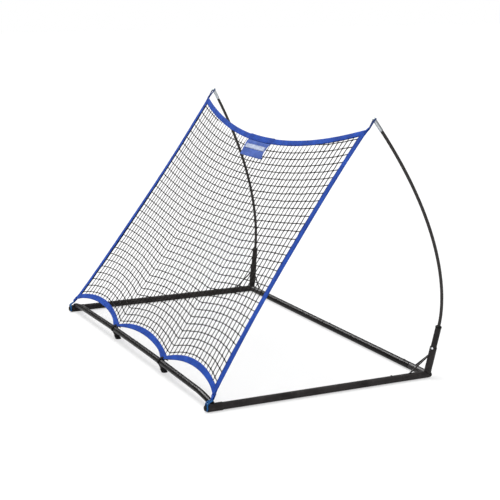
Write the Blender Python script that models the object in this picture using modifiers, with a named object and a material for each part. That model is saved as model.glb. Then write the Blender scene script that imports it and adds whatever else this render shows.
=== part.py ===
# Ball rebounder: a leaning net on a ground frame of telescoping steel tube,
# held up by two bent poles. X runs across, Y from the front tube to the rear
# rail, Z up from the floor. All sizes are in metres.

import math

import bmesh
import bpy
from mathutils import Matrix, Vector

# Ground frame
FRAME_WIDTH = 1.500           # between the axes of the side rails
FRAME_DEPTH = 0.875           # from the front tube's axis to the rear rail's axis
ORIGIN_SHIFT = -0.0081        # moves the whole part along Y, to centre it on its origin
RAIL_DIAMETER = 0.027
RAIL_WALL = 0.0018
SLIP_FIT = 0.0004             # radial clearance of a spigot in the tube that takes it
SPIGOT_WALL = 0.0015
SPIGOT_LENGTH = 0.075
SWAGE_LENGTH = 0.003          # taper where a tube narrows to its spigot
PART_GAP = 0.0003             # clearance between pieces that touch
CORNER_LEG = 0.115            # from the corner's axis to the rim of each leg
REAR_JOINT_X = -0.031         # rim between the halves of the rear rail
BUTTON_FROM_RIM = 0.040

# Front corner
SLEEVE_DIAMETER = 0.030
SLEEVE_WALL = 0.0012
SLEEVE_LENGTH = 0.056
SLEEVE_OVERHANG = 0.0175      # how far the sleeve reaches past the front tube's axis
PLUG_STEM = 0.025
PLUG_NECK_DIAMETER = 0.012
PLUG_HEAD_DIAMETER = 0.020
PLUG_HEAD_LENGTH = 0.0045
PLUG_FIT = 0.0003

# Front tube
FRONT_TUBE_DIAMETER = 0.0226
FRONT_TUBE_WALL = 0.0016
FRONT_TUBE_HEIGHT = 0.0500    # its axis above the floor, in the middle
FRONT_ARCH = 0.0075           # how much lower it is where it starts to curve down
FRONT_END_HEIGHT = 0.0280     # its axis above the floor where it meets the sleeve
FRONT_END_GAP = 0.006         # from that point out to the side rail's axis
FRONT_BEND_LENGTH = 0.124     # how far in from there it starts to curve down
FRONT_DOME = 0.0105           # length of the closed round end
FRONT_SOLID_LENGTH = 0.044    # how far in from there the bore ends
FRONT_JOINT_X = -0.013
FRONT_SPIGOT_WALL = 0.0014

# Front feet
FOOT_BESIDE_TIE = -0.020      # from a tie's middle to the leg's axis
FOOT_LEAN = math.radians(25)
FOOT_LEG_DIAMETER = 0.017
FOOT_LEG_SHORT = 0.008        # the leg stops this far short of the floor, along its axis
RUBBER_WALL = 0.0022
RUBBER_HEIGHT = 0.019

# Uprights at the rear corners
UPRIGHT_LEAN_OUT = math.radians(7.09)
UPRIGHT_LEAN_BACK = math.radians(9.20)
SOCKET_LENGTH = 0.1070        # from the corner's axis to the socket's rim
SOCKET_BASE = 0.004           # height over the rail's axis where the socket's wall ends
HOLDER_TOP = 0.1840           # from the corner's axis to the holder tube's top
COLLAR_DIAMETER = 0.0244
COLLAR_RIM = 0.0030
COLLAR_DOME = 0.0050
COLLAR_SLEEVE = 0.045
POLE_DIAMETER = 0.0120
POLE_FIT = 0.0003
POLE_FOOT = 0.130             # where the pole ends inside the holder tube
BRACE_DIAMETER = 0.006
BRACE_REACH = 0.094           # along the rail, from the corner's axis
BRACE_RISE = 0.0880           # up the upright, from the corner's axis

# Poles
TIP_IN = 0.0020               # from the net's top corner to the pole's tip
TIP_BACK = 0.0238
TIP_ABOVE = 0.0313
TIP_LEAN_IN = math.radians(12.9)
TIP_LEAN_FORWARD = math.radians(32.1)
POLE_START_PULL = 0.053       # how long the curve keeps the holder's direction
POLE_END_PULL = 0.501         # how long it keeps the ferrule's direction
POLE_STEPS = 20
FERRULE_LENGTH = 0.043
FERRULE_WALL = 0.0007
FERRULE_GRIP = 0.030          # how far the pole goes into it
CAP_STEM = 0.010
CAP_NECK_DIAMETER = 0.0080
CAP_FLANGE = 0.0016
CAP_KNOB = 0.0050

# Snap buttons
BUTTON_DIAMETER = 0.0078
FRONT_BUTTON_DIAMETER = 0.0066
SOCKET_BUTTON_DIAMETER = 0.0095
BUTTON_PROUD = 0.0030         # height over the outer tube
BUTTON_DOME = 0.0018
BUTTON_FIT = 0.0003
LEAF_WIDTH = 0.0075
LEAF_LENGTH = 0.028
LEAF_THICKNESS = 0.0008
SOCKET_BUTTON_TURN = math.radians(34.5)   # from straight ahead towards the outside
SOCKET_BUTTON_BELOW_RIM = 0.0015

# Net, measured in its own plane: across, and up the slope from the front tube's axis
NET_LEAN = math.radians(35.63)            # back from upright
NET_CORNER_OUT = 0.005        # from the side rail's axis out to the net's lower corner
NET_TOP_HALF = 0.697
NET_SIDE_BOW = -0.029         # the sides are drawn in between the corners
NET_TOP_MIDDLE = 0.967
NET_TOP_CORNER = 1.090
SCALLOP_JOIN = 0.260          # half the length of the middle one of the three scallops
SCALLOP_SHIFT = 0.035         # that one's middle, to the right of the net's
SCALLOP_LOW = 0.030           # seam height at the scallops' ends
SCALLOP_HIGH = 0.079
MIDDLE_LOWER = 0.0075         # how much lower the middle scallop is
EDGE_LOW = 0.0125             # lower edge of the bottom binding at the scallops' ends
BINDING_WIDTH = 0.0245
BINDING_THICKNESS = 0.002
SCALLOP_COLUMNS = 7           # net columns over each of the three scallops
NET_ROWS = 13
CORD_WIDTH = 0.0040
NET_THICKNESS = 0.002
TAB_TOP_WIDTH = 0.205
TAB_BOTTOM_WIDTH = 0.185
TAB_INSET = 0.017             # its top edge below the net's top edge
TAB_HEIGHT = 0.079
TAB_THICKNESS = 0.0015

# Ties and corner cords
TIE_INSIDE = 0.005            # how far in from where two scallops meet
TIE_SHIFT = -0.010
TIE_FIT = 0.0006              # clearance round the front tube
TIE_WIDTH = 0.014
TIE_THICKNESS = 0.0015
TIE_EYE = 0.0197              # height of the slot in the binding, over the tube's axis
LOWER_CORD_DIAMETER = 0.0060
UPPER_CORD_DIAMETER = 0.0050
CORD_FIT = 0.0004

SIDES = 24                    # facets round a tube
SMALL_SIDES = 14              # facets round a small moulded piece
BUTTON_SIDES = 12

half_width = FRAME_WIDTH / 2
rear_y = FRAME_DEPTH / 2
front_y = -rear_y
rail_radius = RAIL_DIAMETER / 2
rail_bore = rail_radius - RAIL_WALL
rail_height = SLEEVE_DIAMETER / 2
spigot_radius = rail_bore - SLIP_FIT
spigot_bore = spigot_radius - SPIGOT_WALL
front_radius = FRONT_TUBE_DIAMETER / 2
front_bore = front_radius - FRONT_TUBE_WALL
front_spigot_radius = front_bore - SLIP_FIT
front_spigot_bore = front_spigot_radius - FRONT_SPIGOT_WALL
front_tube_end = half_width - FRONT_END_GAP
front_bend_start = front_tube_end - FRONT_BEND_LENGTH
front_bore_end = front_tube_end - FRONT_SOLID_LENGTH
pole_radius = POLE_DIAMETER / 2
ferrule_bore = pole_radius + POLE_FIT
ferrule_radius = ferrule_bore + FERRULE_WALL
net_bottom_half = half_width + NET_CORNER_OUT
side_name = {-1: "left", 1: "right"}


# Scene set-up

for old_object in list(bpy.data.objects):
    bpy.data.objects.remove(old_object)

parts = bpy.data.collections.new("rebounder_net")
cutters = bpy.data.collections.new("cutters")
bpy.context.scene.collection.children.link(parts)
bpy.context.scene.collection.children.link(cutters)


def make_material(name, colour, roughness, metallic=0.0):
    material = bpy.data.materials.new(name)
    material.use_nodes = True
    shader = material.node_tree.nodes["Principled BSDF"]
    shader.inputs["Base Color"].default_value = (*colour, 1.0)
    shader.inputs["Roughness"].default_value = roughness
    shader.inputs["Metallic"].default_value = metallic
    return material


def make_empty(name, parent, matrix):
    empty = bpy.data.objects.new(name, None)
    parts.objects.link(empty)
    empty.parent = parent
    empty.matrix_local = matrix
    return empty


# A matrix whose Z runs along a direction, with X as near as it can be to another.
def axes_at(origin, along, across=(1, 0, 0)):
    z_axis = Vector(along).normalized()
    x_axis = Vector(across) - z_axis * Vector(across).dot(z_axis)
    x_axis.normalize()
    y_axis = z_axis.cross(x_axis)
    matrix = Matrix((x_axis, y_axis, z_axis)).transposed().to_4x4()
    matrix.translation = Vector(origin)
    return matrix


def add_piece(name, mesh, colour, roughness, parent, matrix=Matrix(), metallic=0.0):
    piece = bpy.data.objects.new(name, mesh)
    piece.data.materials.append(make_material(name, colour, roughness, metallic))
    parts.objects.link(piece)
    piece.parent = parent
    piece.matrix_local = matrix
    return piece


def add_cutter(name, mesh, parent, matrix=Matrix()):
    cutter = bpy.data.objects.new(name, mesh)
    cutters.objects.link(cutter)
    cutter.parent = parent
    cutter.matrix_local = matrix
    cutter.hide_render = True
    cutter.display_type = "WIRE"
    return cutter


def combine(piece, other, operation="DIFFERENCE"):
    step = piece.modifiers.new(other.name, "BOOLEAN")
    step.object = other
    step.operation = operation
    step.solver = "EXACT"


def shade(mesh):
    mesh.shade_smooth()
    mesh.set_sharp_from_angle(angle=math.radians(32))
    return mesh


# The mesh that an object shows, with its loose caps welded on. The object goes.
def settle(guide, name):
    bpy.context.view_layer.update()
    depsgraph = bpy.context.evaluated_depsgraph_get()
    mesh = bpy.data.meshes.new_from_object(guide.evaluated_get(depsgraph))
    mesh.name = name
    bpy.data.objects.remove(guide)
    shape = bmesh.new()
    shape.from_mesh(mesh)
    bmesh.ops.remove_doubles(shape, verts=shape.verts, dist=0.00001)
    shape.to_mesh(mesh)
    shape.free()
    return shade(mesh)


# A profile of (radius, height) turned about Z. It goes down the outer side first.
# A tube's profile is closed, a solid's starts and ends on the axis.
def turned(name, profile, closed=False, sides=SIDES):
    mesh = bpy.data.meshes.new(name)
    points = [(radius, 0.0, height) for radius, height in profile]
    edges = [(i, i + 1) for i in range(len(points) - 1)]
    if closed:
        edges.append((len(points) - 1, 0))
    mesh.from_pydata(points, edges, [])
    guide = bpy.data.objects.new(name, mesh)
    cutters.objects.link(guide)
    screw = guide.modifiers.new("turn", "SCREW")
    screw.steps = sides
    screw.render_steps = sides
    screw.use_merge_vertices = True
    screw.merge_threshold = 0.00001
    return settle(guide, name)


def tube(name, outer, bore, length):
    return turned(name, [(outer, length), (outer, 0), (bore, 0), (bore, length)], closed=True)


def rod(name, radius, length, sides=SIDES, start=0.0):
    return turned(name, [(0, length), (radius, length), (radius, start), (0, start)], sides=sides)


# A tube that narrows to a spigot past the rim at z = length.
def swaged_tube(name, start, length):
    return turned(name, [
        (spigot_radius, length + SPIGOT_LENGTH),
        (spigot_radius, length),
        (rail_radius, length - SWAGE_LENGTH),
        (rail_radius, start),
        (rail_bore, start),
        (rail_bore, length - 3 * SWAGE_LENGTH),
        (spigot_bore, length - SWAGE_LENGTH),
        (spigot_bore, length + SPIGOT_LENGTH),
    ], closed=True)


def box(name, low, high):
    low, high = Vector(low), Vector(high)
    mesh = bpy.data.meshes.new(name)
    shape = bmesh.new()
    bmesh.ops.create_cube(shape, size=1)
    bmesh.ops.scale(shape, verts=shape.verts, vec=high - low)
    bmesh.ops.translate(shape, verts=shape.verts, vec=(low + high) / 2)
    shape.to_mesh(mesh)
    shape.free()
    return mesh


# A round bar along a path. shares gives each point's part of the full radius.
def swept(name, path, radius, resolution, shares=None, cyclic=False):
    curve = bpy.data.curves.new(name, "CURVE")
    curve.dimensions = "3D"
    curve.bevel_depth = radius
    curve.bevel_resolution = resolution
    curve.use_fill_caps = True
    spline = curve.splines.new("POLY")
    spline.points.add(len(path) - 1)
    spline.use_cyclic_u = cyclic
    for i, point in enumerate(path):
        spline.points[i].co = (*point, 1.0)
        spline.points[i].radius = shares[i] if shares else 1.0
    guide = bpy.data.objects.new(name, curve)
    cutters.objects.link(guide)
    return settle(guide, name)


# A flat sheet with the given outlines. An inner outline is a hole.
def flat(name, outlines, thickness):
    curve = bpy.data.curves.new(name, "CURVE")
    curve.dimensions = "2D"
    curve.fill_mode = "BOTH"
    curve.extrude = thickness / 2
    for outline in outlines:
        spline = curve.splines.new("POLY")
        spline.points.add(len(outline) - 1)
        spline.use_cyclic_u = True
        for i, point in enumerate(outline):
            spline.points[i].co = (point[0], point[1], 0.0, 1.0)
    guide = bpy.data.objects.new(name, curve)
    cutters.objects.link(guide)
    return settle(guide, name)


def spread(start, end, count):
    return [start + (end - start) * i / count for i in range(count + 1)]


BLACK = (0.018, 0.018, 0.020)
RUBBER = (0.012, 0.012, 0.012)
BLUE = (0.030, 0.085, 0.480)
CORD_BLUE = (0.020, 0.110, 0.420)
SILVER = (0.620, 0.630, 0.650)
PALE = (0.600, 0.600, 0.580)

frame = make_empty("frame_origin", None, Matrix.Translation((0, ORIGIN_SHIFT, 0)))


# Snap button

# It slides in a tube of radius `bore` through a wall that ends at `outer`. The
# station's Z points out of the tube and its X along it. Its leaf lies under the wall.
def snap_button(name, station, bore, outer, diameter, metallic, colour):
    radius = diameter / 2
    leaf_half = min(LEAF_WIDTH / 2, 0.45 * bore)
    leaf_top = math.sqrt(bore ** 2 - leaf_half ** 2) - PART_GAP
    top = outer + BUTTON_PROUD
    dome = [(radius * math.sin(a), top - BUTTON_DOME * (1 - math.cos(a)))
            for a in spread(0, math.pi / 2, 3)]
    foot = leaf_top - LEAF_THICKNESS / 2
    pin = turned(name, dome + [(radius, foot), (0, foot)], sides=BUTTON_SIDES)
    button = add_piece(name, pin, colour, 0.35, frame, station, metallic)
    leaf = add_cutter(name + "_leaf", box(name + "_leaf",
                      (-LEAF_LENGTH + radius * 1.5, -leaf_half, leaf_top - LEAF_THICKNESS),
                      (radius * 1.5, leaf_half, leaf_top)), frame, station)
    combine(button, leaf, "UNION")
    return button


def button_hole(name, station, diameter):
    hole = rod(name, diameter / 2 + BUTTON_FIT, rail_radius * 1.6, sides=BUTTON_SIDES, start=0.004)
    return add_cutter(name, hole, frame, station)


# Rear corners, uprights and poles

# Height of the front tube's axis at a distance from the middle: a low arch, then a bend.
def front_axis(distance):
    share = max(0.0, distance - front_bend_start) / FRONT_BEND_LENGTH
    drop = FRONT_TUBE_HEIGHT - FRONT_ARCH * (front_tube_end / front_bend_start) ** 2 - FRONT_END_HEIGHT
    return FRONT_TUBE_HEIGHT - FRONT_ARCH * (distance / front_bend_start) ** 2 - drop * share ** 2


# The net starts from the axis where it is tied.
net_base = front_axis(SCALLOP_JOIN)


# A point of the net's plane as a place in the frame.
def net_point(across, height):
    return Vector((across, front_y + height * math.sin(NET_LEAN), net_base + height * math.cos(NET_LEAN)))


# The middle of the neck at a pole's tip, where the net's cord is hooked.
def pole_tip(side):
    return net_point(side * NET_TOP_HALF, NET_TOP_CORNER) + Vector((-side * TIP_IN, TIP_BACK, TIP_ABOVE))


def upright_direction(side):
    return Vector((side * math.tan(UPRIGHT_LEAN_OUT), math.tan(UPRIGHT_LEAN_BACK), 1)).normalized()


def tip_direction(side):
    return Vector((-side * math.tan(TIP_LEAN_IN), -math.tan(TIP_LEAN_FORWARD), 1)).normalized()


def cubic(start, pull_a, pull_b, end, share):
    back = 1 - share
    return (start * back ** 3 + pull_a * 3 * back ** 2 * share
            + pull_b * 3 * back * share ** 2 + end * share ** 3)


# Both legs of a corner: one leg along -Y, cut at the mitre and mirrored across it.
def mitred(name, mesh, side, is_cutter):
    corner = Vector((side * half_width, rear_y, rail_height))
    place = axes_at(corner, (0, -1, 0))
    if is_cutter:
        piece = add_cutter(name, mesh, frame, place)
    else:
        piece = add_piece(name, mesh, BLACK, 0.35, frame, place)
    mitre = piece.modifiers.new("mitre", "MIRROR")
    mitre.use_axis = (True, False, False)
    mitre.use_bisect_axis = (True, False, False)
    mitre.bisect_threshold = 0.000001
    mitre.merge_threshold = 0.00001
    mitre.mirror_object = mitre_planes[side]
    return piece


mitre_planes = {}
elbow_hulls = {}
for side in (-1, 1):
    name = side_name[side]
    corner = Vector((side * half_width, rear_y, rail_height))
    mitre_planes[side] = make_empty("mitre_" + name, frame, axes_at(corner, (0, 0, 1), (side, -1, 0)))

    # the elbow and the solid that what stands on it is coped with
    elbow = mitred("rear_corner_" + name,
                   swaged_tube("rear_corner_" + name, -2 * rail_radius, CORNER_LEG), side, False)
    cope = rod("cope_" + name, rail_radius + PART_GAP, CORNER_LEG, start=-2 * rail_radius)
    elbow_hulls[side] = mitred("cope_" + name, cope, side, True)

    # snap buttons in its two spigots
    side_station = axes_at(corner + Vector((0, -CORNER_LEG - BUTTON_FROM_RIM, 0)), (0, 0, 1), (0, -1, 0))
    rear_station = axes_at(corner + Vector((-side * (CORNER_LEG + BUTTON_FROM_RIM), 0, 0)),
                           (0, 0, 1), (-side, 0, 0))
    side_hole = button_hole("side_hole_" + name, side_station, BUTTON_DIAMETER)
    rear_hole = button_hole("rear_hole_" + name, rear_station, BUTTON_DIAMETER)
    combine(elbow, side_hole)
    combine(elbow, rear_hole)
    snap_button("side_button_" + name, side_station, spigot_bore, rail_radius, BUTTON_DIAMETER, 0.0, BLACK)
    snap_button("rear_button_" + name, rear_station, spigot_bore, rail_radius, BUTTON_DIAMETER, 0.0, BLACK)

    # side rail, from the corner's rim to the front sleeve
    rail_start = rear_y - CORNER_LEG - PART_GAP
    rail_end = front_y - SLEEVE_OVERHANG
    rail = add_piece("side_rail_" + name, tube("side_rail_" + name, rail_radius, rail_bore, rail_start - rail_end),
                     BLACK, 0.35, frame, axes_at((side * half_width, rail_start, rail_height), (0, -1, 0)))
    combine(rail, side_hole)

    # rear rail halves, which meet at a rim near the middle
    rear_start = half_width - CORNER_LEG - PART_GAP
    rear_place = axes_at((side * rear_start, rear_y, rail_height), (-side, 0, 0), (0, 0, 1))
    if side < 0:
        half_rail = swaged_tube("rear_rail_left", 0, rear_start + REAR_JOINT_X)
    else:
        half_rail = tube("rear_rail_right", rail_radius, rail_bore, rear_start - REAR_JOINT_X - PART_GAP)
    rear_rail = add_piece("rear_rail_" + name, half_rail, BLACK, 0.35, frame, rear_place)
    combine(rear_rail, rear_hole)
    middle_station = axes_at((REAR_JOINT_X + BUTTON_FROM_RIM, rear_y, rail_height), (0, 0, 1), (-1, 0, 0))
    if side < 0:
        middle_hole = button_hole("middle_hole", middle_station, BUTTON_DIAMETER)
        snap_button("rear_button_middle", middle_station, spigot_bore, rail_radius,
                    BUTTON_DIAMETER, 0.0, BLACK)
    combine(rear_rail, middle_hole)

    # upright: an empty on its axis carries the socket, the holder tube and the collar
    lean = upright_direction(side)
    facing = Vector((side * math.sin(SOCKET_BUTTON_TURN), -math.cos(SOCKET_BUTTON_TURN), 0))
    upright = make_empty("upright_" + name, frame, axes_at(corner, lean, facing))
    socket = add_piece("socket_" + name, tube("socket_" + name, rail_radius, rail_bore, SOCKET_LENGTH),
                       BLACK, 0.35, upright)
    combine(socket, elbow_hulls[side])
    ground = add_cutter("socket_base_" + name, box("socket_base_" + name, (-0.06, -0.06, -0.05),
                        (0.06, 0.06, SOCKET_BASE)), frame, Matrix.Translation(corner))
    combine(socket, ground)

    # open notch in the socket's rim for the holder tube's button
    button_along = SOCKET_LENGTH - SOCKET_BUTTON_BELOW_RIM
    button_out = (facing - lean * facing.dot(lean)).normalized()
    socket_station = axes_at(corner + lean * button_along, button_out, lean)
    reach = SOCKET_BUTTON_DIAMETER / 2 + BUTTON_FIT
    arc = [(-reach * math.sin(a), reach * math.cos(a)) for a in spread(0, math.pi, 10)]
    notch = flat("notch_" + name, [arc + [(0.012, -reach), (0.012, reach)]], rail_radius)
    notch_place = socket_station @ Matrix.Translation((0, 0, rail_radius))
    combine(socket, add_cutter("notch_" + name, notch, frame, notch_place))
    holder_hole = button_hole("holder_hole_" + name, socket_station, SOCKET_BUTTON_DIAMETER)
    snap_button("socket_button_" + name, socket_station, spigot_bore, rail_radius,
                SOCKET_BUTTON_DIAMETER, 1.0, SILVER)

    # holder tube stands on the elbow inside the socket
    tilt = lean.angle(Vector((0, 0, 1)))
    holder_foot = (rail_radius + 2 * PART_GAP + spigot_radius * math.sin(tilt)) / math.cos(tilt)
    holder = add_piece("holder_" + name,
                       tube("holder_" + name, spigot_radius, spigot_bore, HOLDER_TOP - holder_foot),
                       BLACK, 0.35, upright, Matrix.Translation((0, 0, holder_foot)))
    combine(holder, holder_hole)

    # domed collar with a sleeve down the holder tube and a bore for the pole
    collar_bore = pole_radius + POLE_FIT
    collar_radius = COLLAR_DIAMETER / 2
    dome = [(collar_bore + (collar_radius - collar_bore) * math.sin(a),
             PART_GAP + COLLAR_RIM + COLLAR_DOME * math.cos(a)) for a in spread(0.15, math.pi / 2, 3)]
    collar = turned("collar_" + name, dome + [
        (collar_radius, PART_GAP),
        (spigot_bore - POLE_FIT, PART_GAP),
        (spigot_bore - POLE_FIT, -COLLAR_SLEEVE),
        (collar_bore, -COLLAR_SLEEVE),
        (collar_bore, dome[0][1]),
    ], closed=True, sides=SMALL_SIDES)
    add_piece("collar_" + name, collar, RUBBER, 0.5, upright, Matrix.Translation((0, 0, HOLDER_TOP)))

    # braces: rods from each leg of the elbow up to the socket
    brace_top = corner + lean * BRACE_RISE
    socket_hull = add_cutter("socket_hull_" + name, rod("socket_hull_" + name, rail_radius + PART_GAP,
                             SOCKET_LENGTH), upright)
    for kind, foot in (("side", Vector((0, -BRACE_REACH, 0))), ("rear", Vector((-side * BRACE_REACH, 0, 0)))):
        run = brace_top - (corner + foot)
        bar = rod("brace", BRACE_DIAMETER / 2, run.length, sides=12)
        brace = add_piece("brace_" + kind + "_" + name, bar, BLACK, 0.35, frame,
                          axes_at(corner + foot, run, (0, 0, 1)))
        combine(brace, elbow_hulls[side])
        combine(brace, socket_hull)

    # pole: straight in the collar, one long curve, straight in the ferrule
    collar_point = corner + lean * (HOLDER_TOP + COLLAR_RIM + COLLAR_DOME)
    tip_way = tip_direction(side)
    tip = pole_tip(side)
    neck_half = UPPER_CORD_DIAMETER / 2 + CORD_FIT
    ferrule_top = tip - tip_way * (neck_half + CAP_FLANGE)
    ferrule_foot = ferrule_top - tip_way * FERRULE_LENGTH
    path = [corner + lean * POLE_FOOT]
    for share in spread(0, 1, POLE_STEPS):
        path.append(cubic(collar_point, collar_point + lean * POLE_START_PULL,
                          ferrule_foot - tip_way * POLE_END_PULL, ferrule_foot, share))
    path.append(ferrule_foot + tip_way * FERRULE_GRIP)
    add_piece("pole_" + name, swept("pole_" + name, path, pole_radius, 4), BLACK, 0.3, frame)

    add_piece("ferrule_" + name, tube("ferrule_" + name, ferrule_radius, ferrule_bore, FERRULE_LENGTH),
              SILVER, 0.3, frame, axes_at(ferrule_foot, tip_way), 1.0)

    # cap: a flange on the ferrule, a neck for the cord and a round knob
    neck = CAP_NECK_DIAMETER / 2
    knob = [(ferrule_radius * math.sin(a), neck_half + CAP_KNOB * (0.35 + 0.65 * math.cos(a)))
            for a in spread(0, math.pi / 2, 3)]
    flange = -neck_half - CAP_FLANGE + PART_GAP
    cap = turned("cap_" + name, knob + [
        (ferrule_radius, neck_half),
        (neck, neck_half),
        (neck, -neck_half),
        (ferrule_radius, -neck_half),
        (ferrule_radius, flange),
        (pole_radius, flange),
        (pole_radius, flange - CAP_STEM),
        (0, flange - CAP_STEM),
    ], sides=SMALL_SIDES)
    add_piece("cap_" + name, cap, PALE, 0.5, frame, axes_at(tip, tip_way))


# Front corners

for side in (-1, 1):
    name = side_name[side]
    sleeve_front = front_y - SLEEVE_OVERHANG
    sleeve_radius = SLEEVE_DIAMETER / 2
    add_piece("front_sleeve_" + name,
              tube("front_sleeve_" + name, sleeve_radius, sleeve_radius - SLEEVE_WALL, SLEEVE_LENGTH),
              BLACK, 0.35, frame, axes_at((side * half_width, sleeve_front, rail_height), (0, 1, 0)))

    # plug: a stem in the rail, a neck for the cord and a head
    groove = LOWER_CORD_DIAMETER + 2 * CORD_FIT
    head = PLUG_HEAD_DIAMETER / 2
    plug_neck = PLUG_NECK_DIAMETER / 2
    stem = rail_bore - PLUG_FIT
    face = [(head * math.sin(a), groove + PLUG_HEAD_LENGTH * (0.55 + 0.45 * math.cos(a)))
            for a in spread(0, math.pi / 2, 3)]
    plug = turned("end_plug_" + name, face + [
        (head, groove),
        (plug_neck, groove),
        (plug_neck, -PART_GAP),
        (stem, -PART_GAP),
        (stem, -PLUG_STEM),
        (0, -PLUG_STEM),
    ], sides=SMALL_SIDES)
    add_piece("end_plug_" + name, plug, RUBBER, 0.5, frame,
              axes_at((side * half_width, sleeve_front, rail_height), (0, -1, 0)))


# Front tube

def front_point(side, distance):
    return Vector((side * distance, front_y, front_axis(distance)))


def tie_across(side):
    return side * (SCALLOP_JOIN - TIE_INSIDE) + SCALLOP_SHIFT + TIE_SHIFT


button_x = FRONT_JOINT_X + BUTTON_FROM_RIM
front_station = axes_at((button_x, front_y, front_axis(button_x)), (0, 0, 1), (-1, 0, 0))
front_hole = button_hole("front_hole", front_station, FRONT_BUTTON_DIAMETER)
snap_button("front_button", front_station, front_spigot_bore, front_radius, FRONT_BUTTON_DIAMETER, 0.0, BLACK)

for side in (-1, 1):
    name = side_name[side]
    arch = [front_point(side, SCALLOP_JOIN * share) for share in (0.55, 1.1)]
    bend = [front_point(side, distance) for distance in spread(front_bend_start, front_tube_end, 6)]
    way = (bend[-1] - bend[-2]).normalized()
    dome = [bend[-1] + way * FRONT_DOME * share for share in (0.4, 0.75, 1.0)]
    dome_shares = [math.sqrt(1 - share ** 2) for share in (0.4, 0.75, 0.95)]
    joint = FRONT_JOINT_X * side
    spigot_share = front_spigot_radius / front_radius
    bore_share = front_spigot_bore / front_bore
    if side < 0:
        lead = [front_point(side, joint - SPIGOT_LENGTH), front_point(side, joint),
                front_point(side, joint + SWAGE_LENGTH)]
        lead_shares = [spigot_share, spigot_share, 1.0]
        bore_path = [front_point(side, joint - SPIGOT_LENGTH - 0.005), front_point(side, joint + SWAGE_LENGTH),
                     front_point(side, joint + 3 * SWAGE_LENGTH)]
        bore_shares = [bore_share, bore_share, 1.0]
    else:
        lead = [front_point(side, joint + PART_GAP)]
        lead_shares = [1.0]
        bore_path = [front_point(side, joint - 0.005)]
        bore_shares = [1.0]
    path = lead + arch + bend + dome
    shares = lead_shares + [1.0] * len(arch + bend) + dome_shares
    front_tube = add_piece("front_tube_" + name, swept("front_tube_" + name, path, front_radius, 10, shares),
                           BLACK, 0.35, frame)
    bore_path += arch + [front_point(side, distance) for distance in spread(front_bend_start, front_bore_end, 4)]
    bore_shares += [1.0] * 7
    combine(front_tube, add_cutter("front_bore_" + name,
            swept("front_bore_" + name, bore_path, front_bore, 10, bore_shares), frame))
    combine(front_tube, front_hole)
    sleeve_hull = add_cutter("sleeve_hull_" + name, rod("sleeve_hull_" + name, SLEEVE_DIAMETER / 2 + PART_GAP,
                             2 * SLEEVE_LENGTH), frame,
                             axes_at((side * half_width, front_y - SLEEVE_LENGTH, rail_height), (0, 1, 0)))
    combine(front_tube, sleeve_hull)

    # foot: a short leg leaning back from the tube, in a rubber cup cut level with the floor
    foot_x = tie_across(side) + FOOT_BESIDE_TIE
    foot_way = Vector((0, math.sin(FOOT_LEAN), -math.cos(FOOT_LEAN)))
    foot_start = front_axis(abs(foot_x))
    foot_place = axes_at((foot_x, front_y, foot_start), foot_way)
    floor_along = foot_start / math.cos(FOOT_LEAN)
    leg_radius = FOOT_LEG_DIAMETER / 2
    leg_end = floor_along - FOOT_LEG_SHORT
    leg = add_piece("foot_leg_" + name, rod("foot_leg_" + name, leg_radius, leg_end), BLACK, 0.35,
                    frame, foot_place)
    tube_hull = add_cutter("tube_hull_" + name, rod("tube_hull_" + name, front_radius + PART_GAP, 0.08), frame,
                           axes_at((foot_x - 0.04, front_y, foot_start), (1, 0, 0), (0, 0, 1)))
    combine(leg, tube_hull)
    cup_bore = leg_radius + PART_GAP
    cup_radius = leg_radius + RUBBER_WALL
    cup_deep = floor_along + cup_radius * math.tan(FOOT_LEAN)
    cup = turned("foot_rubber_" + name, [
        (0, cup_deep),
        (cup_radius, cup_deep),
        (cup_radius, floor_along - RUBBER_HEIGHT),
        (cup_bore, floor_along - RUBBER_HEIGHT),
        (cup_bore, leg_end + PART_GAP),
        (0, leg_end + PART_GAP),
    ])
    rubber = add_piece("foot_rubber_" + name, cup, RUBBER, 0.7, frame, foot_place)
    floor = add_cutter("floor_" + name, box("floor_" + name, (-0.05, -0.05, -0.05), (0.05, 0.05, 0)),
                       frame, Matrix.Translation((foot_x, front_y, 0)))
    combine(rubber, floor)


# Net

net_plane = make_empty("net_plane", frame, Matrix.Translation((0, front_y, net_base))
                       @ Matrix.Rotation(math.pi / 2 - NET_LEAN, 4, "X"))


def rise(share):
    return 4 * share * (1 - share)


# Half the net's width at a height up its slope.
def side_edge(height):
    share = (height - EDGE_LOW) / (NET_TOP_CORNER - EDGE_LOW)
    return net_bottom_half + (NET_TOP_HALF - net_bottom_half) * share + NET_SIDE_BOW * rise(share)


def top_edge(across):
    return NET_TOP_MIDDLE + (NET_TOP_CORNER - NET_TOP_MIDDLE) * (across / NET_TOP_HALF) ** 2


def top_seam(across):
    return top_edge(across) - BINDING_WIDTH


# Where a line that starts at `low` and tops the scallops at `high` is over a point.
def scalloped(across, low, high):
    distance = abs(across - SCALLOP_SHIFT)
    if distance < SCALLOP_JOIN:
        share = (SCALLOP_JOIN - distance) / (2 * SCALLOP_JOIN)
        return low + (high - MIDDLE_LOWER - low) * rise(share)
    length = net_bottom_half - math.copysign(SCALLOP_SHIFT, across) - SCALLOP_JOIN
    return low + (high - low) * rise(min((distance - SCALLOP_JOIN) / length, 1.0))


def bottom_seam(across):
    return scalloped(across, SCALLOP_LOW, SCALLOP_HIGH)


def bottom_edge(across):
    return scalloped(across, EDGE_LOW, SCALLOP_HIGH - BINDING_WIDTH)


# The point a share of the way to the side, on an edge that depends on where it is.
def on_edge(share, edge, inset=0.0):
    across = share * net_bottom_half
    for _ in range(4):
        height = edge(across)
        across = share * (side_edge(height) - inset)
    return across, height


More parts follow.
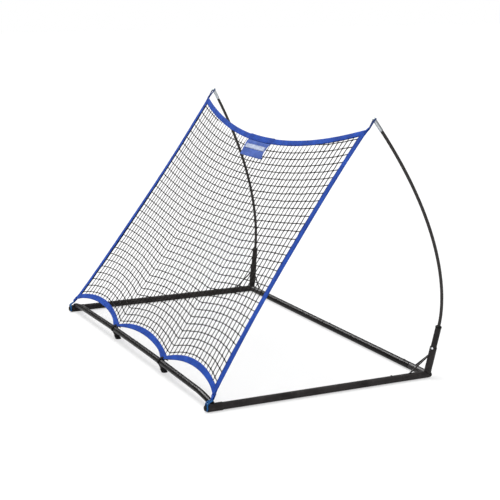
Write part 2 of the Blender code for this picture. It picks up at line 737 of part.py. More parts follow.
# The net's columns as shares of its half width: as many to each scallop.
side_inset = BINDING_WIDTH + PART_GAP
joins = (SCALLOP_SHIFT - SCALLOP_JOIN, SCALLOP_SHIFT + SCALLOP_JOIN)
seam_turns = [join / (side_edge(SCALLOP_LOW) - side_inset) for join in joins]
columns = (spread(-1, seam_turns[0], SCALLOP_COLUMNS)[:-1]
           + spread(seam_turns[0], seam_turns[1], SCALLOP_COLUMNS)[:-1]
           + spread(seam_turns[1], 1, SCALLOP_COLUMNS))


# A seam that the net meets has its corners at the net's columns.
def seam_line(seam):
    return [on_edge(-1, seam)] + [on_edge(share, seam, side_inset) for share in columns] + [on_edge(1, seam)]


def edge_line(edge, steps):
    return [on_edge(share, edge) for share in spread(1, -1, steps)]


def low_line(steps):
    low, high = (join / side_edge(EDGE_LOW) for join in joins)
    shares = spread(1, high, steps)[:-1] + spread(high, low, steps)[:-1] + spread(low, -1, steps)
    return [on_edge(share, bottom_edge) for share in shares]


top_band = flat("binding_top", [seam_line(top_seam) + edge_line(top_edge, 20)], BINDING_THICKNESS)
add_piece("binding_top", top_band, BLUE, 0.7, net_plane)

bottom_band = flat("binding_bottom", [seam_line(bottom_seam) + low_line(12)], BINDING_THICKNESS)
binding_bottom = add_piece("binding_bottom", bottom_band, BLUE, 0.7, net_plane)

for side in (-1, 1):
    name = side_name[side]
    inner_low = on_edge(1, bottom_seam, side_inset)[1] + PART_GAP
    inner_high = on_edge(1, top_seam, side_inset)[1] - PART_GAP
    outer_low = on_edge(1, bottom_seam)[1] + PART_GAP
    outer_high = on_edge(1, top_seam)[1] - PART_GAP
    outline = [(side * side_edge(height), height) for height in spread(outer_low, outer_high, 10)]
    outline += [(side * (side_edge(height) - BINDING_WIDTH), height)
                for height in spread(inner_high, inner_low, 10)]
    add_piece("binding_" + name, flat("binding_" + name, [outline], BINDING_THICKNESS), BLUE, 0.7, net_plane)

# net: a grid drawn into the bindings' outline, each cell opened by an inset
mesh = bpy.data.meshes.new("net")
shape = bmesh.new()
column_count = len(columns) - 1
bmesh.ops.create_grid(shape, x_segments=column_count, y_segments=NET_ROWS, size=1)
for vertex in shape.verts:
    column = columns[round((vertex.co.x + 1) / 2 * column_count)]
    up_share = (vertex.co.y + 1) / 2
    low = on_edge(column, bottom_seam, side_inset)[1] + PART_GAP
    high = on_edge(column, top_seam, side_inset)[1] - PART_GAP
    # the scallops' waves fade in the rows above them
    level = (SCALLOP_LOW + SCALLOP_HIGH) / 2
    height = level + (high - level) * up_share + (low - level) * (1 - up_share) ** 3
    vertex.co = (column * (side_edge(height) - side_inset), height, 0)
cells = shape.faces[:]
bmesh.ops.inset_individual(shape, faces=cells, thickness=CORD_WIDTH / 2, use_even_offset=True)
bmesh.ops.delete(shape, geom=cells, context="FACES_ONLY")
shape.to_mesh(mesh)
shape.free()
net = add_piece("net", mesh, BLACK, 0.8, net_plane)
thicken = net.modifiers.new("thickness", "SOLIDIFY")
thicken.thickness = NET_THICKNESS
thicken.offset = 0

# tab sewn on the front of the top binding
tab_top = NET_TOP_MIDDLE - TAB_INSET
tab_bottom = tab_top - TAB_HEIGHT
tab_outline = [(-TAB_BOTTOM_WIDTH / 2, tab_bottom), (TAB_BOTTOM_WIDTH / 2, tab_bottom),
               (TAB_TOP_WIDTH / 2, tab_top), (-TAB_TOP_WIDTH / 2, tab_top)]
tab_lift = BINDING_THICKNESS / 2 + PART_GAP + TAB_THICKNESS / 2
add_piece("tab", flat("tab", [tab_outline], TAB_THICKNESS), BLACK, 0.8, net_plane,
          Matrix.Translation((0, 0, tab_lift)))


# Ties

# Outline of a strap round the front tube and up to a flat eye of half-width `eye`.
def strap_outline(radius, eye, eye_height):
    distance = math.hypot(eye, eye_height)
    touch = math.acos(radius / distance) + math.atan2(eye, eye_height)
    arc = [(radius * math.sin(a), radius * math.cos(a)) for a in spread(touch, 2 * math.pi - touch, 14)]
    return [(eye, eye_height)] + arc + [(-eye, eye_height)]


for side in (-1, 1):
    name = side_name[side]
    inner_eye = BINDING_THICKNESS / 2 + PART_GAP
    inner_height = TIE_EYE + PART_GAP
    inner = strap_outline(front_radius + TIE_FIT, inner_eye, inner_height)
    outer = strap_outline(front_radius + TIE_FIT + TIE_THICKNESS, inner_eye + TIE_THICKNESS,
                          inner_height + TIE_THICKNESS)
    tie_x = tie_across(side)
    tie_place = Matrix.Translation((tie_x, 0, 0)) @ axes_at((0, 0, 0), (1, 0, 0), (0, 0, -1))
    add_piece("tie_" + name, flat("tie_" + name, [outer, inner], TIE_WIDTH), BLACK, 0.8, net_plane, tie_place)
    slot_half = TIE_WIDTH / 2 + PART_GAP
    slot_top = TIE_EYE + TIE_THICKNESS + 2 * PART_GAP
    slot = add_cutter("slot_" + name, box("slot_" + name, (tie_x - slot_half, TIE_EYE, -BINDING_THICKNESS),
                      (tie_x + slot_half, slot_top, BINDING_THICKNESS)), net_plane)
    combine(binding_bottom, slot)


# Corner cords

# A loop of cord round a neck, drawn out to an eye by the net's corner. It stays square
# to the neck's axis for a first length, to clear what stands beside it.
def cord_loop(centre, axis, ring, corner, cord_radius, square):
    gap = corner - centre
    pull = (gap - axis * gap.dot(axis)).normalized()
    across = axis.cross(pull)
    far = gap.length - cord_radius - CORD_FIT
    apex = gap.normalized() * far
    end = cord_radius * 1.25
    run = apex.dot(pull) - end
    straight = min(square / run, 0.9)
    leg_a, leg_b = [], []
    for share in spread(0, 1, 7):
        ease = share * share * (3 - 2 * share)
        along = pull * run * share
        drop = axis * apex.dot(axis) * max(0.0, (share - straight) / (1 - straight))
        width = ring + (end - ring) * ease
        leg_a.append(centre + along + drop + across * width)
        leg_b.append(centre + along + drop - across * width)
    back = [centre + (across * math.cos(a) - pull * math.sin(a)) * ring
            for a in spread(0, math.pi, 8)][1:-1]
    eye_centre = centre + pull * (apex.dot(pull) - end) + axis * apex.dot(axis)
    eye = [eye_centre + (across * math.cos(a) + pull * math.sin(a)) * end
           for a in spread(0, math.pi, 6)][1:-1]
    return leg_a[::-1] + back + leg_b + eye[::-1]


for side in (-1, 1):
    name = side_name[side]
    lower_radius = LOWER_CORD_DIAMETER / 2
    plug_centre = Vector((side * half_width, front_y - SLEEVE_OVERHANG - CORD_FIT - lower_radius, rail_height))
    lower_corner = net_point(side * net_bottom_half, EDGE_LOW)
    lower_ring = PLUG_NECK_DIAMETER / 2 + CORD_FIT + lower_radius
    # in front of the front tube, up to the turn of its upper side
    tube_turn = front_axis(net_bottom_half) + front_radius * math.sqrt(0.5) - rail_height
    lower_square = tube_turn * (lower_corner - plug_centre).length / (lower_corner - plug_centre).z
    lower = cord_loop(plug_centre, Vector((0, 1, 0)), lower_ring, lower_corner, lower_radius, lower_square)
    add_piece("lower_cord_" + name, swept("lower_cord_" + name, lower, lower_radius, 2, cyclic=True),
              CORD_BLUE, 0.7, frame)

    upper_radius = UPPER_CORD_DIAMETER / 2
    tip = pole_tip(side)
    upper_corner = net_point(side * NET_TOP_HALF, NET_TOP_CORNER)
    upper_ring = CAP_NECK_DIAMETER / 2 + CORD_FIT + upper_radius
    # past the rim of the cap's knob
    upper_square = ferrule_radius + CORD_FIT + upper_radius
    upper = cord_loop(tip, tip_direction(side), upper_ring, upper_corner, upper_radius, upper_square)
    add_piece("upper_cord_" + name, swept("upper_cord_" + name, upper, upper_radius, 1, cyclic=True),
              CORD_BLUE, 0.7, frame)
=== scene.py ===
import math
import random

import bpy
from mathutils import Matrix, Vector
from mathutils.bvhtree import BVHTree


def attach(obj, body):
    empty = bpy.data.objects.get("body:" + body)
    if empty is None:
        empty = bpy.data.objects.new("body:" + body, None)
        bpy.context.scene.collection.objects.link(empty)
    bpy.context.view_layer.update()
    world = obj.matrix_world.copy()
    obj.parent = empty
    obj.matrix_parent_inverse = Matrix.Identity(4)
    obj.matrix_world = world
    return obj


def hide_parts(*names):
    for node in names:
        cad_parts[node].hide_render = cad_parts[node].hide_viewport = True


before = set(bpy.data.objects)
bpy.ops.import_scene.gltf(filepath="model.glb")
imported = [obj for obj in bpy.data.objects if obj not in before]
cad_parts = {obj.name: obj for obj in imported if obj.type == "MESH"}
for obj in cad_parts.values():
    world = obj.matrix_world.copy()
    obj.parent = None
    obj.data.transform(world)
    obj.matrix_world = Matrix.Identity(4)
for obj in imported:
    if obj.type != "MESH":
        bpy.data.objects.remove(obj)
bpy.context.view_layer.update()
print("frame loaded,", len(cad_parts), "nodes")

bothSides = ((-1, "left"), (1, "right"))


def addObject(name, data):
    thing = bpy.data.objects.new(name, data)
    bpy.context.scene.collection.objects.link(thing)
    return thing


def aim(thing, way):
    thing.rotation_mode = "QUATERNION"
    thing.rotation_quaternion = way.to_track_quat("-Z", "Y")


# Camera, matched to the photo
shot = {
    "place": (4.569, -2.138, 1.452),
    "azimuth": -64.31,
    "elevation": -11.97,
    "sensor": 36,            # mm
    "focalLength": 92.0,
    "farthest": 60,          # metres that it sees
}


def setUpCamera():
    camera = addObject("photoCamera", bpy.data.cameras.new("photoCamera"))
    azimuth, elevation = math.radians(shot["azimuth"]), math.radians(shot["elevation"])
    camera.location = shot["place"]
    aim(camera, Vector((math.sin(azimuth) * math.cos(elevation),
                        math.cos(azimuth) * math.cos(elevation), math.sin(elevation))))
    camera.data.sensor_width = shot["sensor"]
    camera.data.lens = shot["focalLength"]
    camera.data.clip_end = shot["farthest"]
    bpy.context.scene.camera = camera


setUpCamera()
print("camera set")


# Measures of the net in its own plane: across, and up the slope from the front tube's axis
netPlane = {
    "foot": Vector((0, -0.4456, 0.0487)),   # the front tube's axis where the net is tied
    "lean": math.radians(35.63),
    "bottomHalf": 0.755,
    "topHalf": 0.697,
    "sideBow": -0.029,
    "topMiddle": 0.967,
    "topCorner": 1.090,
    "scallopJoin": 0.260,      # half the middle scallop's length
    "scallopShift": 0.035,     # its middle, to the right of the net's
    "scallopLow": 0.030,
    "scallopHigh": 0.079,
    "middleLower": 0.0075,     # how much lower the middle scallop is
    "pinch": 0.008,            # its tape is drawn in at its left end
    "pinchStart": 0.012,       # most of all this far from the end
    "pinchFade": 0.1,
    "edgeLow": 0.0125,
    "edgeDrawn": 0.022,        # the ties draw the tape's outer edge to the left
    "edgeDip": 0.006,          # and it hangs lower at the ties and the corners
    "dipReach": 0.040,
    "tape": 0.0245,
}
netFace = Vector((0, -math.cos(netPlane["lean"]), math.sin(netPlane["lean"])))
netUp = Vector((0, math.sin(netPlane["lean"]), math.cos(netPlane["lean"])))


def onNet(across, height, lift=0.0):
    return netPlane["foot"] + Vector((across, 0, 0)) + netUp * height + netFace * lift


def spread(start, end, count):
    return [start + (end - start) * i / count for i in range(count + 1)]


def clamp(value):
    return min(max(value, 0.0), 1.0)


# An arch that is 0 at both ends and 1 in the middle
def rise(share):
    return 4 * share * (1 - share)


def sideEdge(height):
    share = (height - netPlane["edgeLow"]) / (netPlane["topCorner"] - netPlane["edgeLow"])
    return (netPlane["bottomHalf"] + (netPlane["topHalf"] - netPlane["bottomHalf"]) * share
            + netPlane["sideBow"] * rise(share))


def topEdge(across):
    dip = netPlane["topCorner"] - netPlane["topMiddle"]
    return netPlane["topMiddle"] + dip * (across / netPlane["topHalf"]) ** 2


def topSeam(across):
    return topEdge(across) - netPlane["tape"]


# A line over the three scallops that starts at low and tops them at high
def scalloped(across, low, high):
    join, shift = netPlane["scallopJoin"], netPlane["scallopShift"]
    distance = abs(across - shift)
    if distance < join:
        return low + (high - netPlane["middleLower"] - low) * rise((join - distance) / (2 * join))
    length = netPlane["bottomHalf"] - math.copysign(shift, across) - join
    return low + (high - low) * rise(min((distance - join) / length, 1.0))


# The two places where scallops join
def scallopJoins(drawn):
    return [netPlane["scallopShift"] + side * netPlane["scallopJoin"] - drawn for side in (-1, 1)]


def bottomSeam(across):
    past = max(0.0, across - netPlane["scallopShift"] + netPlane["scallopJoin"])
    share = math.exp(-past / netPlane["pinchFade"]) * min(past / netPlane["pinchStart"], 1.0)
    return scalloped(across, netPlane["scallopLow"], netPlane["scallopHigh"]) - netPlane["pinch"] * share


def bottomEdge(across):
    reach, drawn = netPlane["dipReach"], netPlane["edgeDrawn"]
    ties = scallopJoins(drawn)
    pull = sum(math.exp(-((across - tie) / reach) ** 2) for tie in ties)
    line = scalloped(across + drawn * pull, netPlane["edgeLow"], netPlane["scallopHigh"] - netPlane["tape"])
    near = min(abs(across - place) for place in ties + [-netPlane["bottomHalf"], netPlane["bottomHalf"]])
    return line - netPlane["edgeDip"] * math.exp(-(near / reach) ** 2)


# Where a line up the net meets one across it, found by going to and fro between them
def crossing(across, heightAt, acrossAt, tries):
    for _ in range(tries):
        height = heightAt(across)
        across = acrossAt(height)
    return across, height


# The point a share of the way to the side on an edge
def edgePoint(share, edge):
    return crossing(share * netPlane["bottomHalf"], edge, lambda height: share * sideEdge(height), 5)


# Mesh helpers: a draft gathers points, faces and UVs in metres, then becomes one piece
def newDraft():
    return {"points": [], "faces": [], "uvs": []}


def turnsOf(count):
    return [2 * math.pi * k / count for k in range(count)]


# How far along a path each of its points lies
def runsOf(path):
    runs = [0.0]
    for before, after in zip(path, path[1:]):
        runs.append(runs[-1] + math.dist(before, after))
    return runs


# Rows of (point, UV), joined into one sheet, or into a tube when closed
def addGrid(draft, rows, closed=False):
    first = len(draft["points"])
    width = len(rows[0])
    for row in rows:
        draft["points"].extend(point for point, _ in row)
    for r in range(len(rows) - 1):
        for c in range(width if closed else width - 1):
            face, uvs = [], []
            after = (c + 1) % width
            for i, j in ((r, c), (r, after), (r + 1, after), (r + 1, c)):
                u, v = rows[i][j][1]
                face.append(first + i * width + j)
                uvs.append((u, v + 1 if j < c else v))     # a tube's last face ends a turn on
            draft["faces"].append(face)
            draft["uvs"].append(uvs)


# A round bar along a path. U is the length along it in metres, V the turn round it.
def addBar(draft, path, radius, sides, up, closed=False, caps=True):
    first, count = len(draft["points"]), len(path)
    radii = radius if isinstance(radius, list) else [radius] * count
    runs = runsOf(path + path[:1] if closed else path)
    rows = []
    for i in range(count):
        before = path[i - 1] if i or closed else path[i]
        after = path[(i + 1) % count] if i + 1 < count or closed else path[i]
        way = (after - before).normalized()
        side = way.cross(up).normalized()
        top = side.cross(way)
        rows.append([(path[i] + (side * math.cos(a) + top * math.sin(a)) * radii[i], (runs[i], k / sides))
                     for k, a in enumerate(turnsOf(sides))])
    if closed:
        rows.append([(point, (runs[-1], turn)) for point, (_, turn) in rows[0]])
    addGrid(draft, rows, closed=True)
    if caps and not closed:
        last = first + (count - 1) * sides
        for corner, run, order in ((first, 0.0, range(sides)), (last, runs[-1], range(sides)[::-1])):
            draft["faces"].append([corner + k for k in order])
            draft["uvs"].append([(run, k / sides) for k in order])


# A small lump, as a knot or a bead of weld
def addLump(draft, centre, axes, sizes, segments=6, rings=3):
    first = len(draft["points"])
    x, y, z = (axis * size for axis, size in zip(axes, sizes))
    draft["points"].append(centre - z)
    for b in spread(-math.pi / 2, math.pi / 2, rings + 1)[1:-1]:
        draft["points"].extend(centre + (x * math.cos(a) + y * math.sin(a)) * math.cos(b) + z * math.sin(b)
                               for a in turnsOf(segments))
    draft["points"].append(centre + z)
    starts = [first + 1 + r * segments for r in range(rings)]
    faces = []
    for k in range(segments):
        n = (k + 1) % segments
        faces.append([first, starts[0] + n, starts[0] + k])
        faces += [[low + k, low + n, high + n, high + k] for low, high in zip(starts, starts[1:])]
        faces.append([starts[-1] + k, starts[-1] + n, starts[-1] + segments])
    draft["faces"].extend(faces)
    draft["uvs"].extend([(0.0, 0.25 * i) for i in range(len(face))] for face in faces)


def makePiece(name, draft, finish):
    mesh = bpy.data.meshes.new(name)
    mesh.from_pydata([tuple(p) for p in draft["points"]], [], draft["faces"])
    layer = mesh.uv_layers.new(name="UVMap")
    layer.data.foreach_set("uv", [n for face in draft["uvs"] for uv in face for n in uv])
    mesh.shade_smooth()
    mesh.materials.append(finishes[finish])
    piece = addObject(name, mesh)
    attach(piece, "frame")
    return piece


# Cloth from rows of (point, UV). offset 0 puts its thickness on both sides of them, 1 on the front.
def makeCloth(name, rows, finish, thickness, offset=0):
    draft = newDraft()
    addGrid(draft, rows)
    piece = makePiece(name, draft, finish)
    cloth = piece.modifiers.new("cloth", "SOLIDIFY")
    cloth.thickness = thickness
    cloth.offset = offset
    return piece


def sew(name, stitches, radius):
    draft = newDraft()
    for path in stitches:
        addBar(draft, path, radius, 4, netFace, caps=False)
    return makePiece(name, draft, "sewingThread")


# Material helpers
def srgb(red, green, blue):
    return (*[level / 255 / 12.92 if level <= 10 else ((level / 255 + 0.055) / 1.055) ** 2.4
              for level in (red, green, blue)], 1.0)


def startMaterial(name, sockets):
    material = bpy.data.materials.new(name)
    material.use_nodes = True
    shader = material.node_tree.nodes["Principled BSDF"]
    for socket, value in sockets.items():
        shader.inputs[socket].default_value = value
    return material, shader


def plug(output, socket):
    socket.id_data.links.new(output, socket)


# Adds a node to the shader's own tree. An input is a value or another node's output.
def addNode(shader, kind, inputs=None, **settings):
    node = shader.id_data.nodes.new(kind)
    for key, value in settings.items():
        setattr(node, key, value)
    for socket, value in (inputs or {}).items():
        if isinstance(value, bpy.types.NodeSocket):
            plug(value, node.inputs[socket])
        else:
            node.inputs[socket].default_value = value
    return node


def maths(shader, operation, a, b=0.0, c=0.5):
    return addNode(shader, "ShaderNodeMath", {0: a, 1: b, 2: c}, operation=operation).outputs[0]


# Stops are (place, colour or share)
def ramp(shader, source, stops):
    node = addNode(shader, "ShaderNodeValToRGB", {"Fac": source})
    band = node.color_ramp
    while len(band.elements) < len(stops):
        band.elements.new(0.5)
    for element, (place, colour) in zip(band.elements, stops):
        element.position = place
        element.color = colour if isinstance(colour, tuple) else (colour, colour, colour, 1.0)
    return node.outputs["Color"]


def noiseAt(shader, scale, detail, stretch=(1, 1, 1), coordinates="Object"):
    place = addNode(shader, "ShaderNodeTexCoord")
    mapping = addNode(shader, "ShaderNodeMapping", {"Vector": place.outputs[coordinates], "Scale": stretch})
    return addNode(shader, "ShaderNodeTexNoise",
                   {"Vector": mapping.outputs[0], "Scale": scale, "Detail": detail}).outputs["Fac"]


def uvParts(shader):
    place = addNode(shader, "ShaderNodeTexCoord")
    parts = addNode(shader, "ShaderNodeSeparateXYZ", {0: place.outputs["UV"]})
    return parts.outputs[0], parts.outputs[1]


# Ramps over two textures give a shader its colour and its roughness
def dress(shader, toneSource, tones, roughSource, rough):
    plug(ramp(shader, toneSource, tones), shader.inputs["Base Color"])
    plug(ramp(shader, roughSource, rough), shader.inputs["Roughness"])


# rounding softens the edges between a tube's flat sides, in metres
def bump(shader, height, strength, depth, rounding=0.0):
    node = addNode(shader, "ShaderNodeBump", {"Height": height, "Strength": strength, "Distance": depth})
    plug(node.outputs[0], shader.inputs["Normal"])
    if rounding:
        soft = addNode(shader, "ShaderNodeBevel", {"Radius": rounding}, samples=4)
        plug(soft.outputs[0], node.inputs["Normal"])


# Coats, mouldings and metals. tones and rough are ramps over a cloud with this scale and
# detail. grain is the scale, strength and depth of the fine bumps.
hardFinishes = {
    # the frame's black paint; the coat below is a darker copy of it for the front tube and the rear rail
    "powderCoat": {
        "tones": [(0.3, srgb(36, 34, 34)), (0.7, srgb(54, 51, 51))], "rough": [(0.25, 0.36), (0.75, 0.46)],
        "cloud": (16, 4), "grain": (1100, 0.35, 0.00012), "rounding": 0.004,
        "dust": srgb(76, 72, 71), "sockets": {"Specular IOR Level": 0.09}},
    # the same black paint, darker and glossier: its darker tones are painted shade for the front tube and the
    # rear rail, which look darker as they run along the view
    "glossCoat": {
        "tones": [(0.3, srgb(15, 14, 14)), (0.7, srgb(28, 26, 26))], "rough": [(0.25, 0.22), (0.75, 0.30)],
        "cloud": (16, 4), "grain": (1100, 0.35, 0.00012), "rounding": 0.004,
        "dust": srgb(44, 42, 42), "sockets": {"Specular IOR Level": 0.035}},
    "mouldedRubber": {     # slightly chalky
        "tones": [(0.35, srgb(18, 18, 18)), (0.75, srgb(33, 32, 32))], "rough": [(0.3, 0.58), (0.7, 0.76)],
        "cloud": (60, 5), "grain": (1600, 0.4, 0.00015), "rounding": 0.003,
        "sockets": {"Specular IOR Level": 0.12}},
    "drawnAluminium": {    # thin sleeve, dulled by handling
        "tones": [(0.3, srgb(150, 156, 160)), (0.7, srgb(206, 210, 213))],
        "rough": [(0.3, 0.38), (0.7, 0.26)],
        "cloud": (260, 5), "grain": (1500, 0.15, 0.0001), "rounding": 0.003,
        "sockets": {"Metallic": 1.0}},
    "paleNylon": {
        "tones": [(0.3, srgb(150, 164, 168)), (0.7, srgb(204, 213, 214))], "rough": [(0.3, 0.36), (0.7, 0.5)],
        "cloud": (220, 4), "grain": (1300, 0.2, 0.0001), "rounding": 0.001,
        "sockets": {"Subsurface Weight": 0.15, "Subsurface Radius": (0.002, 0.002, 0.002)}},
    "brightPlate": {       # plated snap button
        "rough": [(0.35, 0.12), (0.7, 0.26)],
        "cloud": (500, 4), "grain": (900, 0.1, 0.0001), "rounding": 0.002,
        "sockets": {"Metallic": 1.0, "Base Color": srgb(216, 218, 222)}},
    "blackPlate": {        # blackened snap button, rubbed paler where it is pressed
        "tones": [(0.35, srgb(58, 58, 60)), (0.7, srgb(98, 97, 98))], "rough": [(0.3, 0.36), (0.7, 0.22)],
        "cloud": (420, 4), "grain": (900, 0.12, 0.0001), "rounding": 0.002,
        "sockets": {"Metallic": 0.8}},
}
dusting = {"cloud": (55, 6), "share": [(0.55, 0.0), (0.78, 0.35)]}
grainDetail = 2


def makeHard(name, look):
    material, shader = startMaterial(name, look["sockets"])
    cloud = noiseAt(shader, *look["cloud"])
    if "tones" in look:
        tone = ramp(shader, cloud, look["tones"])
        if "dust" in look:
            share = ramp(shader, noiseAt(shader, *dusting["cloud"]), dusting["share"])
            tone = addNode(shader, "ShaderNodeMix", {"Factor": share, 6: tone, 7: look["dust"]},
                           data_type="RGBA").outputs[2]
        plug(tone, shader.inputs["Base Color"])
    plug(ramp(shader, cloud, look["rough"]), shader.inputs["Roughness"])
    scale, strength, depth = look["grain"]
    bump(shader, noiseAt(shader, scale, grainDetail), strength, depth, look["rounding"])
    return material


# Pultruded glass fibre, the fibres run along the rod
rodFinish = {
    "tones": [(0.3, srgb(36, 34, 33)), (0.7, srgb(56, 52, 51))],
    "rough": [(0.3, 0.34), (0.7, 0.48)],
    "shine": 0.24,
    "fibres": (30, 4, (1.2, 14, 1), "UV"),      # drawn out along the rod
    "cloud": (40, 3),
    "relief": (0.3, 0.0001),
}


def makeRod(name):
    material, shader = startMaterial(name, {"Specular IOR Level": rodFinish["shine"]})
    fibres = noiseAt(shader, *rodFinish["fibres"])
    dress(shader, fibres, rodFinish["tones"], noiseAt(shader, *rodFinish["cloud"]), rodFinish["rough"])
    bump(shader, fibres, *rodFinish["relief"])
    return material


# Three-strand twisted polyethylene
twineFinish = {
    "tones": [(0.3, srgb(14, 12, 11)), (0.75, srgb(36, 32, 29))],
    "rough": [(0.3, 0.5), (0.7, 0.66)],
    "shine": 0.03,
    "twist": 920.0,              # radians a metre
    "strands": 3,
    "cloud": (30, 3),
    "relief": (0.6, 0.0003),
}


def makeTwine(name):
    material, shader = startMaterial(name, {"Specular IOR Level": twineFinish["shine"]})
    along, turn = uvParts(shader)
    twist = maths(shader, "ADD", maths(shader, "MULTIPLY", along, twineFinish["twist"]),
                  maths(shader, "MULTIPLY", turn, twineFinish["strands"] * 2 * math.pi))
    cloud = noiseAt(shader, *twineFinish["cloud"])
    dress(shader, cloud, twineFinish["tones"], cloud, twineFinish["rough"])
    bump(shader, maths(shader, "MULTIPLY_ADD", maths(shader, "SINE", twist), 0.5), *twineFinish["relief"])
    return material


# Woven cloth, its colour darker in the hollows of the weave as painted shade. threads are the pitches along
# and across, in metres.
cloths = {
    "blueTape": {"tones": [(0.28, srgb(18, 54, 136)), (0.74, srgb(38, 80, 174))],
                 "rough": [(0.3, 0.66), (0.7, 0.78)], "threads": (0.0011, 0.0008), "sheen": 0.05},
    "tabCloth": {"tones": [(0.28, srgb(52, 80, 152)), (0.74, srgb(80, 106, 182))],
                 "rough": [(0.3, 0.60), (0.7, 0.72)], "threads": (0.0008, 0.0008), "sheen": 0.05},
    "paleStripe": {"tones": [(0.28, srgb(158, 170, 198)), (0.74, srgb(194, 203, 222))],
                   "rough": [(0.3, 0.44), (0.7, 0.56)], "threads": (0.0009, 0.0009), "sheen": 0.02},
    "strapWebbing": {"tones": [(0.28, srgb(12, 12, 13)), (0.74, srgb(34, 33, 34))],
                     "rough": [(0.3, 0.72), (0.7, 0.84)], "threads": (0.0016, 0.0012), "sheen": 0.05},
    "sewingThread": {"tones": [(0.28, srgb(30, 60, 164)), (0.74, srgb(58, 96, 206))],
                     "rough": [(0.3, 0.54), (0.7, 0.66)], "threads": (0.0006, 0.0006), "sheen": 0.05},
}
weaving = {"sheenRough": 0.4, "shine": 0.03, "cloud": (24, 5), "hollowShade": 0.12, "relief": (0.45, 0.00022)}


def makeWoven(name, look):
    material, shader = startMaterial(name, {
        "Sheen Weight": look["sheen"], "Sheen Roughness": weaving["sheenRough"],
        "Specular IOR Level": weaving["shine"]})
    weft, warp = (maths(shader, "SINE", maths(shader, "MULTIPLY", place, 2 * math.pi / pitch))
                  for place, pitch in zip(uvParts(shader), look["threads"]))
    weave = maths(shader, "MULTIPLY", warp, weft)
    cloud = noiseAt(shader, *weaving["cloud"])
    # painted shade: the weave's relief darkens the colour in its hollows, over a random cloud
    shift = maths(shader, "ADD", maths(shader, "MULTIPLY", weave, weaving["hollowShade"]), cloud)
    dress(shader, shift, look["tones"], cloud, look["rough"])
    bump(shader, weave, *weaving["relief"])
    return material


# Braided sheath of an elastic cord, its colour darker between the strands as painted shade
sheaths = {
    "lowerSheath": [(0.25, srgb(14, 44, 104)), (0.8, srgb(44, 112, 172))],
    "upperSheath": [(0.25, srgb(22, 34, 78)), (0.8, srgb(62, 84, 142))],
}
braid = {
    "rough": [(0.3, 0.6), (0.7, 0.74)],
    "sheen": 0.05,
    "shine": 0.08,
    "twist": 1500.0,             # radians a metre
    "strands": 6,                # each way
    "cloud": (300, 3),
    "hollowShade": (0.25, 0.45),
    "relief": (0.6, 0.0003),
}


def makeBraid(name, tones):
    material, shader = startMaterial(name, {"Sheen Weight": braid["sheen"],
                                            "Specular IOR Level": braid["shine"]})
    along, turn = uvParts(shader)
    run = maths(shader, "MULTIPLY", along, braid["twist"])
    about = maths(shader, "MULTIPLY", turn, braid["strands"] * 2 * math.pi)
    left, right = (maths(shader, "SINE", maths(shader, way, run, about)) for way in ("ADD", "SUBTRACT"))
    plait = maths(shader, "MAXIMUM", left, right)
    # painted shade: the plait's relief darkens the colour between the strands
    hollowShade = maths(shader, "MULTIPLY_ADD", plait, *braid["hollowShade"])
    dress(shader, hollowShade, tones, noiseAt(shader, *braid["cloud"]), braid["rough"])
    bump(shader, plait, *braid["relief"])
    return material


finishes = {"glassFibreRod": makeRod("glassFibreRod"), "netTwine": makeTwine("netTwine")}
for make, looks in ((makeHard, hardFinishes), (makeWoven, cloths), (makeBraid, sheaths)):
    finishes.update({name: make(name, look) for name, look in looks.items()})
print("finishes made")


# Rigid pieces keep their CAD shape and get the first finish that fits how their name starts
nodeFinishes = {
    # the front tube and the rear rail get the darker copy of the frame paint, with painted shade
    "front_tube": "glossCoat", "rear_rail": "glossCoat",
    "front_sleeve": "powderCoat", "foot_leg": "powderCoat", "side_rail": "powderCoat",
    "rear_corner": "powderCoat", "brace": "powderCoat", "holder": "powderCoat",
    "socket_button": "brightPlate", "socket": "powderCoat",
    "collar": "mouldedRubber", "end_plug": "mouldedRubber", "foot_rubber": "mouldedRubber",
    "ferrule": "drawnAluminium", "cap": "paleNylon",
    "front_button": "blackPlate", "rear_button": "blackPlate", "side_button": "blackPlate",
}
for name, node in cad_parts.items():
    for start, finish in nodeFinishes.items():
        if name.startswith(start):
            node.data.materials.clear()
            node.data.materials.append(finishes[finish])
            break
print("tubes, plugs and buttons finished")


# Poles
poleShape = {
    "corner": Vector((0.75, 0.4294, 0.015)),
    "leanOut": math.radians(7.09),
    "leanBack": math.radians(9.20),
    "footAlong": 0.150,       # hidden in the collar
    "collarAlong": 0.192,
    "tipOffset": Vector((-0.0020, 0.0238, 0.0313)),   # from the net's top corner
    "tipLeanIn": math.radians(12.9),
    "tipLeanForward": math.radians(32.1),
    "neckToFerrule": 0.0045,
    "ferruleLength": 0.043,
    "grip": 0.028,            # how far it runs on inside the ferrule
    "startPull": 0.053,       # the bend's handles at both ends
    "endPull": 0.501,
    "radius": 0.006,
    "steps": 72,
    "sides": 24,
}


def mirrored(point, side):
    return Vector((side * point.x, point.y, point.z))


def leaning(right, back):
    return Vector((math.tan(right), math.tan(back), 1)).normalized()


def uprightWay(side):
    return leaning(side * poleShape["leanOut"], poleShape["leanBack"])


def tipWay(side):
    return leaning(-side * poleShape["tipLeanIn"], -poleShape["tipLeanForward"])


def tipAt(side):
    return onNet(side * netPlane["topHalf"], netPlane["topCorner"]) + mirrored(poleShape["tipOffset"], side)


def polePath(side):
    corner, lean, way = mirrored(poleShape["corner"], side), uprightWay(side), tipWay(side)
    start = corner + lean * poleShape["collarAlong"]
    end = tipAt(side) - way * (poleShape["neckToFerrule"] + poleShape["ferruleLength"])
    pullA = start + lean * poleShape["startPull"]
    pullB = end - way * poleShape["endPull"]
    path = [corner + lean * poleShape["footAlong"]]
    for share in spread(0, 1, poleShape["steps"]):
        back = 1 - share
        path.append(start * back ** 3 + pullA * (3 * back ** 2 * share)
                    + pullB * (3 * back * share ** 2) + end * share ** 3)
    path.append(end + way * poleShape["grip"])
    return path


